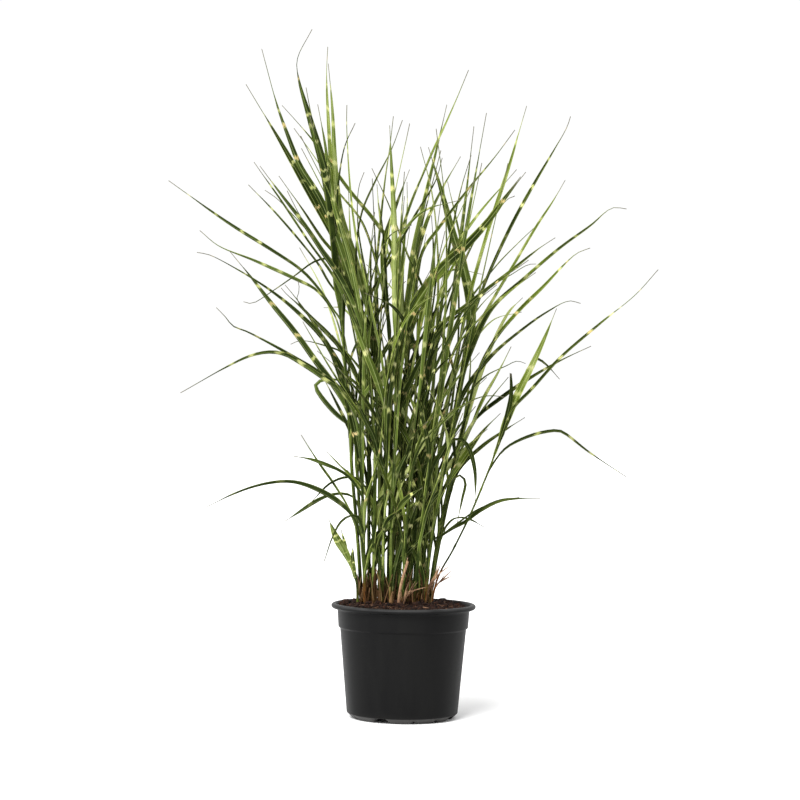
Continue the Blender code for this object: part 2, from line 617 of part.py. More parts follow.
def lip_profile():
    """The rolled lip, from its inner side over the top to its outer side."""
    middle = POT_HEIGHT - LIP_THICKNESS / 2
    round_radius = LIP_THICKNESS / 2
    inner = LIP_INNER + 0.6 * round_radius
    outer = LIP_RADIUS - round_radius
    points = [(LIP_INNER - 0.0006, middle - 0.001)]
    points += [(inner + 0.6 * round_radius * math.cos(angle), middle + round_radius * math.sin(angle))
               for angle in map(math.radians, (145, 95))]
    points += [(outer + round_radius * math.cos(angle), middle + round_radius * math.sin(angle))
               for angle in map(math.radians, (80, 35, -15, -65))]
    return points


def make_pot(collection, cutters, material):
    """The pot: turned in one piece, with its foot ring notched."""
    profile = [(0.0, FLOOR_HEIGHT), *pot_inside(), *lip_profile()]
    profile += [(COLLAR_TOP_RADIUS + 0.0010, COLLAR_TOP + 0.0010), (COLLAR_TOP_RADIUS, COLLAR_TOP - 0.0010)]
    profile += [(COLLAR_RADIUS, COLLAR_FOOT), (STEP_RADIUS, STEP_HEIGHT), (BEVEL_RADIUS, BEVEL_HEIGHT)]
    profile += [(FOOT_OUTER, 0.0), (FOOT_INNER, 0.0), (FOOT_INNER - 0.001, FOOT_HEIGHT)]
    profile += [(BOSS_RADIUS + 0.001, FOOT_HEIGHT), (BOSS_RADIUS, 0.0), (0.0, 0.0)]
    pot = turned("pot", profile, collection, material)
    for direction in NOTCH_DIRECTIONS:
        cut = pot.modifiers.new("notch", "BOOLEAN")
        cut.solver = "EXACT"
        cut.object = notch_cutter(direction, cutters)
    return pot


def make_soil(collection, cutters, sockets, material):
    """The soil: a rough mounded surface in the pot, with a socket for every stem."""
    walls = pot_inside()
    lower, upper = walls[-1], (LIP_INNER - 0.0006, POT_HEIGHT - LIP_THICKNESS / 2 - 0.001)
    rise = (SOIL_EDGE - lower[1]) / (upper[1] - lower[1])
    edge = lower[0] + (upper[0] - lower[0]) * rise
    profile = [*SOIL_SURFACE, (edge - GAP, SOIL_EDGE)]
    profile += [(radius - GAP, height) for radius, height in (walls[3], walls[1])]
    profile += [(walls[0][0] - GAP, FLOOR_HEIGHT + GAP), (0.0, FLOOR_HEIGHT + GAP)]
    soil = as_mesh(turned("soil", profile, collection, material), "soil")
    for vertex in soil.data.vertices:
        radius = math.hypot(vertex.co.x, vertex.co.y)
        if vertex.co.z > SOIL_EDGE + 0.0005 and radius < edge - 0.005:
            vertex.co.z += SOIL_ROUGHNESS * noise.noise(vertex.co * SOIL_GRAIN)
    for cutter in sockets:
        cut = soil.modifiers.new("socket", "BOOLEAN")
        cut.solver = "EXACT"
        cut.object = cutter
    return soil


def make_shoots(collection, helpers, cutters, material):
    """Every leafy shoot, on ways that keep clear of each other. Returns their sockets and the filled thicket."""
    thicket = Thicket()
    groups = [("shoot_%02d", STEMS, BLADES), ("young_shoot_%d", YOUNG_STEMS, YOUNG_BLADES)]
    grown = []
    for pattern, stems, blades in groups:
        for number, stem in enumerate(stems, 1):
            name = pattern % number
            culm, run = placed_stem(name + "_culm", stem, thicket, name, helpers)
            own = [blade for blade in blades if blade.shoot == number]
            grown.append((name, stem, culm, run, own))
    shapes = {name: [] for name, *_ in grown}
    for name, _, _, run, own in grown:
        for blade in own:
            shape = placed_blade(ways(run, blade), blade.width * MM, blade.turn, thicket, name)
            if not shape:
                raise ValueError(f"{name} has no clear way for the blade with its tip at {blade.seen[-1]}")
            shapes[name].append(shape)
    for (name, _, _, run, _), count in zip(grown, FILL_BLADES):
        rng = random.Random(f"{SEED} {name}")
        for _ in range(count):
            width, turn = rng.uniform(*FILL_WIDTHS), rng.uniform(-25.0, 25.0)
            shape = placed_blade(fill_ways(run, rng), width, turn, thicket, name)
            if shape:
                shapes[name].append(shape)
    sockets = []
    for name, stem, culm, run, _ in grown:
        joined(culm, shapes[name], name, collection, material)
        sockets.append(socket(run, stem, cutters))
    return sockets, thicket


def make_dry_stalks(collection, helpers, cutters, thicket, material):
    """The dead stalks, each in its socket."""
    sockets = []
    for number, stalk in enumerate(DRY_STALKS, 1):
        name = f"dry_stalk_{number}"
        piece, run = placed_stem(name, stalk, thicket, name, helpers)
        helpers.objects.unlink(piece)
        collection.objects.link(piece)
        piece.data.materials.append(material)
        sockets.append(socket(run, stalk, cutters))
    return sockets


def main():
    """Builds the clump."""
    for piece in list(bpy.data.objects):
        bpy.data.objects.remove(piece)
    clump = new_collection("potted zebra grass")
    cutters = new_collection("cutters")
    helpers = new_collection("helpers")
    plastic = new_material("black pot plastic", (0.028, 0.028, 0.028), 0.45)
    peat = new_material("brown peat", (0.045, 0.026, 0.018), 0.95)
    leaf = new_material("banded green leaf", (0.13, 0.20, 0.045), 0.5)
    straw = new_material("dry tan straw", (0.36, 0.24, 0.13), 0.8)
    sockets, thicket = make_shoots(clump, helpers, cutters, leaf)
    sockets += make_dry_stalks(clump, helpers, cutters, thicket, straw)
    make_pot(clump, cutters, plastic)
    make_soil(clump, cutters, sockets, peat)
    bpy.data.collections.remove(helpers)


main()
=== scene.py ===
"""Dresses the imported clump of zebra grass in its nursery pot.

Every shoot of the frame is replaced by a fine one that follows the same runs: a culm, the sheaths round it
and the banded blades that grow out of them. The pot, the peat and the dry stalks get fine pieces as well.
Metres throughout, +Z up, the front is -Y.
"""

from __future__ import annotations

import json
import logging
import math
import random
from dataclasses import dataclass
from enum import Enum
from itertools import accumulate, product
from typing import Iterator, NamedTuple

import bmesh
import bpy
from mathutils import Matrix, Vector, noise
from mathutils.bvhtree import BVHTree

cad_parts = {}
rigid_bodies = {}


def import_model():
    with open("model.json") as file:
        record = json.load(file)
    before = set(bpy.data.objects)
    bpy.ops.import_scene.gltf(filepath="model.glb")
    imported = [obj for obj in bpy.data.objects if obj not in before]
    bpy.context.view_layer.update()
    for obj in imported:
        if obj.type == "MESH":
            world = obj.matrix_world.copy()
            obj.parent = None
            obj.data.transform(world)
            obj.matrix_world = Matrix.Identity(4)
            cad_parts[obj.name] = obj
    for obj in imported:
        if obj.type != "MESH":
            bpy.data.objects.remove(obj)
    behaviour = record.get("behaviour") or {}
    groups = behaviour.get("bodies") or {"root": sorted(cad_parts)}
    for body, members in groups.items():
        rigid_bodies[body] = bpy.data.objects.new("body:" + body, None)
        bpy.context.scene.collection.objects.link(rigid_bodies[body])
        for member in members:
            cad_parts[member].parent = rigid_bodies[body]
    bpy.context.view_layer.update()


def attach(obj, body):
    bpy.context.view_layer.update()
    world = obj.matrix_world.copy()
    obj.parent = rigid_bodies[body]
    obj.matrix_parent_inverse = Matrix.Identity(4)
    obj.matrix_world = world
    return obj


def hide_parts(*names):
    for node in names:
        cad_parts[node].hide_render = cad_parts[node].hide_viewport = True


LOG = logging.getLogger("zebra_grass")
MM = 0.001
BODY = "root"
EYE = Vector((-0.0084, -3.0, 0.417))  # where the camera stands
UP = Vector((0.0, 0.0, 1.0))
# What the leaf finish reads from every leaf and culm, as attributes of its vertices.
MARKS = ("across", "along", "tip", "tone", "sheath", "under", "dry", "banding", "soft", "rust")

Material = bpy.types.Material
Object = bpy.types.Object
Mesh = bmesh.types.BMesh
Vertex = bmesh.types.BMVert
Color = tuple[float, float, float]
Place = tuple[float, float]
Spot = tuple[float, float, float]
Run = list[Vector]
Value = "Wire | float | Color"


# -------- finishes


class Slot(Enum):
    """The record's material slots."""

    POT = "pot_plastic"
    PEAT = "peat"
    LEAF = "leaf"
    STRAW = "straw"


class Wire:
    """A value in a material's node tree, which adds, subtracts and multiplies as a number does."""

    def __init__(self, graph: Graph, socket: bpy.types.NodeSocket) -> None:
        """Keeps the socket that gives the value."""
        self.graph, self.socket = graph, socket

    def __add__(self, other: Value) -> Wire:
        """The sum."""
        return self.graph.node("Math", {0: self, 1: other}, operation="ADD")

    def __sub__(self, other: Value) -> Wire:
        """The difference."""
        return self.graph.node("Math", {0: self, 1: other}, operation="SUBTRACT")

    def __mul__(self, other: Value) -> Wire:
        """The product."""
        return self.graph.node("Math", {0: self, 1: other}, operation="MULTIPLY")

    def __abs__(self) -> Wire:
        """The value without its sign."""
        return self.graph.node("Math", {0: self}, operation="ABSOLUTE")

    def ramp(self, start: Value, end: Value, low: float = 0.0, high: float = 1.0) -> Wire:
        """A smooth step: low until the value reaches start, high from end on."""
        limits = {"Value": self, "From Min": start, "From Max": end, "To Min": low, "To Max": high}
        return self.graph.node("MapRange", limits, interpolation_type="SMOOTHSTEP")

    def part(self, axis: str) -> Wire:
        """One coordinate of a vector."""
        return self.graph.node("SeparateXYZ", {0: self}, axis)

    def channel(self, index: int) -> Wire:
        """One of the three numbers of a colour."""
        return self.graph.node("SeparateColor", {0: self}, index)


class Graph:
    """A material's node tree, with short ways to add nodes and links."""

    def __init__(self, name: str) -> None:
        """Starts a material on its Principled shader.

        Args:
            name: the material's name.
        """
        self.material = bpy.data.materials.new(name)
        self.material.use_nodes = True
        self.tree = self.material.node_tree
        self.surface = self.tree.nodes["Principled BSDF"]

    def feed(self, socket: bpy.types.NodeSocket, value: Value) -> None:
        """Gives an input its value.

        Args:
            socket: the input.
            value: what it takes: a wire, which is linked to it, or a constant.
        """
        if isinstance(value, Wire):
            self.tree.links.new(value.socket, socket)
        else:
            socket.default_value = (*value, 1.0) if socket.type == "RGBA" else value

    def node(self, kind: str, inputs: dict, output: str | int = 0, **settings: str) -> Wire:
        """Adds a node.

        Args:
            kind: the node's type, without the words that every shader node starts with.
            inputs: the values that its inputs take.
            output: the output that is wanted.
            settings: the node's own settings.

        Returns:
            The wanted output.
        """
        made = self.tree.nodes.new("ShaderNode" + kind)
        for name, value in settings.items():
            setattr(made, name, value)
        for name, value in inputs.items():
            self.feed(made.inputs[name], value)
        return Wire(self, made.outputs[output])

    def attribute(self, name: str) -> Wire:
        """The piece's own attribute of that name."""
        return self.node("Attribute", {}, "Fac", attribute_name=name)

    def place(self) -> Wire:
        """The place on the piece, in metres."""
        return self.node("TexCoord", {}, "Object")

    def noise(self, vector: Wire, scale: float, detail: float = 3.0, roughness: float = 0.5) -> Wire:
        """The value of a noise texture."""
        values = {"Vector": vector, "Scale": scale, "Detail": detail, "Roughness": roughness}
        return self.node("TexNoise", values)

    def drawn_out(self, scales: Spot, detail: float = 3.0, roughness: float = 0.5) -> Wire:
        """A noise over the piece that changes so many times a metre along X, Y and Z."""
        stretched = self.node("Mapping", {"Vector": self.place(), "Scale": scales})
        return self.noise(stretched, 1.0, detail, roughness)

    def cells(self, along: Wire, scale: float, unevenness: float) -> tuple[Wire, Wire]:
        """Stretches of uneven length, side by side along a line.

        Args:
            along: where a point is on the line.
            scale: how many stretches a metre has.
            unevenness: how much their lengths differ, from 0 to 1.

        Returns:
            How far a point is from the middle of its stretch, and a random colour that is the stretch's own.
        """
        values = {"W": along, "Scale": scale, "Randomness": unevenness}
        away = self.node("TexVoronoi", values, "Distance", voronoi_dimensions="1D")
        return away, Wire(self, away.socket.node.outputs["Color"])

    def layered(self, color: Value, *layers: tuple[Wire, Value]) -> Wire:
        """Lays colours over a colour.

        Args:
            color: the lowest colour.
            layers: each layer's share and its colour, from below to above.

        Returns:
            The colour that they give.
        """
        for share, cover in layers:
            color = self.node("Mix", {0: share, 6: color, 7: cover}, 2, data_type="RGBA")
        return color

    def bump(self, height: Wire, distance: float, strength: float) -> None:
        """Raises the surface by a height."""
        raised = self.node("Bump", {"Height": height, "Distance": distance, "Strength": strength})
        self.feed(self.surface.inputs["Normal"], raised)

    def finish(self, color: Value, roughness: Value, specular: Value = 0.5) -> Material:
        """Feeds the shader.

        Args:
            color: the base colour.
            roughness: how rough the surface is.
            specular: how strong its reflections are.

        Returns:
            The material.
        """
        inputs = {"Base Color": color, "Roughness": roughness, "Specular IOR Level": specular}
        for name, value in inputs.items():
            self.feed(self.surface.inputs[name], value)
        return self.material


class LeafPattern:
    """What the leaf finish is worked out from: the leaf's own marks, and lines that run along it."""

    def __init__(self, graph: Graph) -> None:
        """Adds the marks and the patterns.

        Args:
            graph: the material's nodes.
        """
        self.graph = graph
        marks = [graph.attribute(name) for name in MARKS]
        self.across, self.along, self.tip, self.tone, self.wrap = marks[:5]
        self.under, self.dry, self.banding, self.soft, self.rusty = marks[5:]
        self.height = graph.place().part("Z")
        self.middle = abs(self.across - 0.5)
        self.veins = self.grain(26.0, 9.0)
        self.streaks = self.grain(6.0, 5.0)
        self.drift = self.grain(1.2, 14.0)

    def grain(self, lines: float, changes: float) -> Wire:
        """A pattern of so many lines side by side, each of which changes so many times a metre."""
        spot = self.graph.node("CombineXYZ", {"X": self.across * lines, "Y": self.along * changes})
        return self.graph.noise(spot, 1.0, 2.5)


@dataclass(frozen=True)
class LeafFinish:
    """Green blades with pale bands across them, a pale midrib and dry tips, and the paler sheaths below."""

    deep: Color = (0.0125, 0.0200, 0.0040)
    fresh: Color = (0.100, 0.141, 0.011)
    pale: Color = (0.430, 0.480, 0.170)
    sheath: Color = (0.068, 0.095, 0.009)
    bloom: Color = (0.034, 0.056, 0.020)
    # Pale edge colour: a painted highlight where the leaf's edges catch the light.
    margin: Color = (0.290, 0.340, 0.085)
    band: Color = (0.390, 0.420, 0.130)
    cream: Color = (0.580, 0.550, 0.290)
    scorch: Color = (0.540, 0.345, 0.160)
    midrib: Color = (0.290, 0.335, 0.130)
    tip: Color = (0.105, 0.098, 0.066)
    rust: Color = (0.180, 0.060, 0.014)
    husk: Color = (0.050, 0.021, 0.010)
    straw: Color = (0.270, 0.150, 0.070)
    bands_a_metre: float = 27.0
    joints_a_metre: float = 13.0

    def material(self) -> Material:
        """The finish as a node material.

        Returns:
            The material.
        """
        leaf = LeafPattern(Graph("banded_leaf"))
        shade = self.shade(leaf)
        color = self.aged(leaf, self.banded(leaf, self.green(leaf, shade)))
        leaf.graph.bump(leaf.veins + leaf.streaks, 0.00022, 0.6)
        roughness = leaf.veins.ramp(0.3, 0.7, 0.46, 0.62)
        return leaf.graph.finish(color, roughness, shade.ramp(0.0, 0.8, 0.0, 0.12))

    def shade(self, leaf: LeafPattern) -> Wire:
        """How light the green is: darker low down (older leaves, and painted shade inside the clump),
        streaked, with painted glints, and changing from joint to joint on the culms.

        Args:
            leaf: the leaf's marks and patterns.

        Returns:
            The shade, 0 for the deepest green and about 1 for the palest.
        """
        # Darker low in the clump: partly older leaves, partly painted shade for the clump's shaded inside.
        shade = leaf.tone + leaf.height.ramp(0.30, 0.65, -0.05, 0.01)
        shade += leaf.drift.ramp(0.25, 0.75, -0.23, 0.25)
        shade += leaf.streaks.ramp(0.30, 0.70, -1.0, 1.0) * leaf.wrap.ramp(0.0, 1.0, 0.05, 0.38)
        # Painted glints: bright streaks, mostly on culms and sheaths, standing in for sheen.
        shade += leaf.streaks.ramp(0.58, 0.70) * leaf.wrap.ramp(0.0, 1.0, 0.03, 0.35)
        shade += leaf.veins.ramp(0.30, 0.70, -0.07, 0.07)
        _, section = leaf.graph.cells(leaf.along, self.joints_a_metre, 0.8)
        return shade - leaf.wrap * 0.10 + section.channel(0).ramp(0.0, 1.0, -0.24, 0.22) * leaf.wrap

    def green(self, leaf: LeafPattern, shade: Wire) -> Wire:
        """The green of a blade or a sheath, with its bloomed underside and a painted highlight along its
        edges.

        Args:
            leaf: the leaf's marks and patterns.
            shade: how light the green is.

        Returns:
            The colour.
        """
        # Painted highlight along the edges of blades and sheaths, stronger on lighter leaves.
        edge = leaf.middle.ramp(0.40, 0.48) * leaf.wrap.ramp(0.5, 0.1, 0.45, 0.60)
        return leaf.graph.layered(
            self.deep,
            (shade.ramp(0.08, 0.62), self.fresh),
            (shade.ramp(0.46, 1.05), self.pale),
            (leaf.under * shade.ramp(0.0, 0.5, 0.08, 0.32), self.bloom),
            (leaf.wrap * shade.ramp(0.2, 0.9) * 0.55, self.sheath),
            (edge * leaf.tone.ramp(0.0, 0.5, 0.25, 1.25), self.margin),
        )

    def banded(self, leaf: LeafPattern, green: Wire) -> Wire:
        """The green with the pale bands and the midrib on it, some bands scorched in their middle.

        Args:
            leaf: the leaf's marks and patterns.
            green: the colour between the bands.

        Returns:
            The colour.
        """
        band, centre, pick = self.bands(leaf)
        light = leaf.graph.layered(
            self.band,
            (leaf.drift.ramp(0.40, 0.70), self.cream),
            (leaf.soft * 0.45, self.band),
            (centre * pick.ramp(0.66, 0.74) * leaf.soft.ramp(0.6, 0.3), self.scorch),
        )
        strength = leaf.banding * leaf.tip.ramp(0.0, 0.30, 0.50, 1.15)
        ridge = leaf.middle.ramp(0.055, 0.02) * leaf.wrap.ramp(0.5, 0.1, 0.0, 0.65)
        ridge *= leaf.tone.ramp(0.0, 0.4, 0.40, 1.0)
        return leaf.graph.layered(green, (band * strength, light), (ridge, self.midrib))

    def bands(self, leaf: LeafPattern) -> tuple[Wire, Wire, Wire]:
        """The bands across a blade, at uneven distances, with edges frayed along the veins.

        Args:
            leaf: the leaf's marks and patterns.

        Returns:
            How far a point is in a band, how far it is in its middle, and the band's own random number.
        """
        shift = (leaf.grain(5.0, 40.0) - 0.5) * 0.016 + (leaf.veins - 0.5) * 0.007
        away, color = leaf.graph.cells(leaf.along + shift, self.bands_a_metre, 0.85)
        length, pick, shown = (color.channel(index) for index in range(3))
        half = (length.ramp(0.0, 1.0, 0.024, 0.066) + leaf.soft * 0.06) * leaf.tip.ramp(0.0, 0.40, 0.45, 1.0)
        edge = leaf.soft * 0.06 + 0.010
        inside = (half - away).ramp(edge * -1.0, edge)
        return inside * shown.ramp(0.12, 0.45, 0.15, 1.0), (half * 0.55 - away).ramp(-0.02, 0.02), pick

    def aged(self, leaf: LeafPattern, color: Wire) -> Wire:
        """The colour with the dry tip, the browned foot, and dead straw where a leaf is dead.

        Args:
            leaf: the leaf's marks and patterns.
            color: the living leaf's colour.

        Returns:
            The colour.
        """
        withered = (leaf.tip + leaf.streaks.ramp(0.3, 0.7, 0.0, 0.04)).ramp(0.90, 1.02)
        foot = leaf.height + leaf.drift.ramp(0.25, 0.75, -0.012, 0.012)
        foot += leaf.streaks.ramp(0.3, 0.7, -0.012, 0.012)
        browned = (foot - leaf.rusty * 0.055).ramp(0.165, 0.140) * leaf.wrap * 0.85
        stain = leaf.graph.layered(self.husk, ((leaf.streaks + leaf.rusty * 0.3).ramp(0.5, 0.8), self.rust))
        worn = (leaf.veins * 0.8 + leaf.tone * 0.6).ramp(0.50, 1.05)
        dead = leaf.graph.layered(self.husk, (worn, self.straw))
        return leaf.graph.layered(color, (withered, self.tip), (browned, stain), (leaf.dry, dead))


@dataclass(frozen=True)
class StrawFinish:
    """Dead stalks: tan, streaked along their length, darker at the foot."""

    tan: Color = (0.165, 0.078, 0.036)
    pale: Color = (0.35, 0.215, 0.115)
    rust: Color = (0.095, 0.040, 0.018)

    def material(self) -> Material:
        """The finish as a node material.

        Returns:
            The material.
        """
        graph = Graph("dry_straw")
        streaks = graph.drawn_out((900.0, 900.0, 60.0))
        stains = graph.noise(graph.place(), 55.0, 2.0).ramp(0.48, 0.66)
        foot = graph.place().part("Z").ramp(0.163, 0.150, 0.0, 0.7)
        layers = (streaks.ramp(0.35, 0.65), self.pale), (stains, self.rust), (foot, self.rust)
        graph.bump(streaks, 0.0003, 0.7)
        return graph.finish(graph.layered(self.tan, *layers), streaks.ramp(0.3, 0.7, 0.65, 0.85))


@dataclass(frozen=True)
class PeatFinish:
    """Moist peat: dark brown with reddish fibres and a few pale specks."""

    dark: Color = (0.0045, 0.0024, 0.0018)
    brown: Color = (0.018, 0.0075, 0.0045)
    red: Color = (0.062, 0.021, 0.009)
    speck: Color = (0.20, 0.14, 0.09)

    def material(self) -> Material:
        """The finish as a node material.

        Returns:
            The material.
        """
        graph = Graph("moist_peat")
        clods = graph.noise(graph.place(), 160.0, 4.0, 0.6)
        grain = graph.noise(graph.place(), 700.0, 4.0, 0.65)
        fibre = graph.drawn_out((250.0, 1100.0, 500.0)).ramp(0.56, 0.70)
        layers = (clods.ramp(0.36, 0.62), self.brown), (fibre, self.red), (grain.ramp(0.70, 0.75), self.speck)
        graph.bump(clods + grain, 0.0014, 0.9)
        return graph.finish(graph.layered(self.dark, *layers), grain.ramp(0.3, 0.7, 0.72, 0.98), 0.15)


@dataclass(frozen=True)
class PotFinish:
    """Black moulded plastic: satin, with faint flow marks, scuffs, a little dust low down, a painted
    reflection of the pale floor on the foot and a painted highlight along the lip.
    """

    black: Color = (0.0042, 0.0042, 0.0043)
    grey: Color = (0.0060, 0.0060, 0.0059)
    dust: Color = (0.022, 0.021, 0.019)
    # Light grey of the foot's bevel: a painted reflection of the pale floor.
    worn: Color = (0.060, 0.059, 0.057)
    # Light grey along the top of the lip: a painted highlight.
    lip: Color = (0.030, 0.030, 0.030)

    def material(self) -> Material:
        """The finish as a node material.

        Returns:
            The material.
        """
        graph = Graph("black_pot_plastic")
        height = graph.place().part("Z")
        flow = graph.drawn_out((38.0, 38.0, 6.0), 4.0)
        scuffs = graph.drawn_out((90.0, 90.0, 520.0), 5.0, 0.7)
        color = graph.layered(
            self.black,
            (flow.ramp(0.3, 0.7), self.grey),
            (scuffs.ramp(0.60, 0.80, 0.0, 0.30), self.dust),
            ((height + flow * 0.02).ramp(0.024, 0.004, 0.0, 0.30), self.dust),
            # Painted reflection of the pale floor on the foot's bevel.
            (height.ramp(0.0072, 0.0058, 0.0, 0.8), self.worn),
            # Painted highlight along the top of the rolled lip.
            (height.ramp(0.1455, 0.1485) * flow.ramp(0.3, 0.6, 0.55, 1.0), self.lip),
        )
        graph.bump(graph.noise(graph.place(), 2600.0, 2.0) + scuffs * 0.6, 0.00003, 0.4)
        return graph.finish(color, flow.ramp(0.3, 0.7, 0.38, 0.48) + scuffs.ramp(0.5, 0.8, 0.0, 0.12), 0.055)


@dataclass(frozen=True)
class FloorFinish:
    """The plain pale floor."""

    white: Color = (0.93, 0.93, 0.93)

    def material(self) -> Material:
        """The finish as a node material."""
        return Graph("pale_floor").finish(self.white, 0.9)


# -------- the runs of the shoots


class Stem(NamedTuple):
    """A culm: where it leaves the soil, places seen along it up to its top, how deep its top lies, its
    radius, and, from 0 to 1, how fresh its green is and how rusty its foot is."""

    foot: Place
    seen: tuple[Place, ...]
    depth: float
    radius: float
    tone: float
    rust: float = 0.25


class Blade(NamedTuple):
    """A leaf blade: its shoot, the height where it leaves the culm, places seen along it up to its tip,
    the depth of its tip, its full width, how far it is turned about its own length, in degrees, and its look:
    how fresh its green is, how strong its bands are and how softly they end, each from 0 to 1. The last value
    is the share of its length that is drawn out to a thread, or below 0 where it ends blunt."""

    shoot: int
    leaves_at: float
    seen: tuple[Place, ...]
    depth: float
    width: float
    turn: float
    tone: float
    banding: float
    soft: float
    drawn: float = 0.0


# Places in millimetres, as they are seen from the camera on the plane through the pot's axis.
STEMS = (
    Stem((-54, 0), ((-62, 240), (-70, 320), (-76, 400), (-86, 520), (-97, 620)), -30, 3.3, -0.15),
    Stem((-50, -13), ((-54, 240), (-57, 320), (-61, 410)), -45, 3.0, 0.05, 0.9),
    Stem((-47, 13), ((-57, 240), (-64, 330), (-68, 390), (-70, 440)), 50, 3.0, -0.10),
    Stem((-44, -2), ((-47, 240), (-48, 330), (-52, 420), (-61, 525)), -5, 3.2, 0.1),
    Stem((-39, -18), ((-40, 240), (-40, 330), (-47, 430), (-63, 535)), -60, 3.2, 0.05),
    Stem((-37, 17), ((-41, 240), (-48, 340), (-58, 440)), 60, 3.0, 0.0),
    Stem((-32, 3), ((-33, 250), (-36, 360), (-42, 460), (-50, 545)), 12, 3.1, 0.2, 0.5),
    Stem((-29, -22), ((-27, 250), (-26, 350), (-29, 455)), -70, 3.0, 0.75),
    Stem((-26, 25), ((-29, 250), (-33, 360), (-38, 480)), 80, 3.0, -0.1),
    Stem((-21, -6), ((-20, 260), (-19, 380), (-24, 525)), -20, 3.2, 0.5),
    Stem((-17, -25), ((-17, 260), (-14, 380), (-14, 480)), -75, 3.0, 0.95, 0.5),
    Stem((-15, 12), ((-15, 260), (-14, 400), (-13, 560)), 40, 3.2, 0.9),
    Stem((-11, 29), ((-9, 260), (-4, 400), (0, 505)), 85, 3.0, 0.0),
    Stem((-7, -10), ((-6, 250), (-3, 350), (3, 435)), -45, 3.1, -0.05, 0.35),
    Stem((-2, -27), ((2, 240), (8, 330), (14, 405)), -80, 2.9, 0.0),
    Stem((-1, 8), ((3, 250), (8, 360), (14, 465)), 20, 3.1, 0.0),
    Stem((4, 25), ((8, 250), (14, 350), (22, 445)), 75, 3.0, -0.1),
    Stem((6, -12), ((13, 240), (20, 330), (27, 420), (32, 505)), -35, 3.2, 0.25, 0.6),
    Stem((11, 4), ((18, 240), (26, 340), (36, 445)), 5, 3.0, 0.3),
    Stem((13, -25), ((20, 230), (30, 320), (41, 405)), -75, 2.9, 0.85, 0.4),
    Stem((17, 19), ((25, 240), (36, 350), (48, 455)), 60, 3.0, 0.1),
    Stem((19, -8), ((28, 230), (40, 320), (53, 400), (66, 475)), -30, 3.1, 0.35, 0.5),
    Stem((24, 9), ((33, 220), (46, 310), (60, 390), (75, 460)), 30, 3.0, 0.6),
    Stem((26, -18), ((34, 220), (45, 290), (58, 360), (70, 425)), -65, 2.9, 0.8, 0.9),
    Stem((31, 1), ((40, 210), (52, 280), (67, 350), (83, 415)), -10, 2.9, 0.3),
    Stem((34, -11), ((45, 185), (64, 221), (88, 272), (112, 333), (129, 380)), -45, 2.0, 0.3, 0.8),
    Stem((32, 16), ((41, 200), (50, 250), (60, 300), (75, 360)), 55, 2.7, 0.2, 0.8),
)

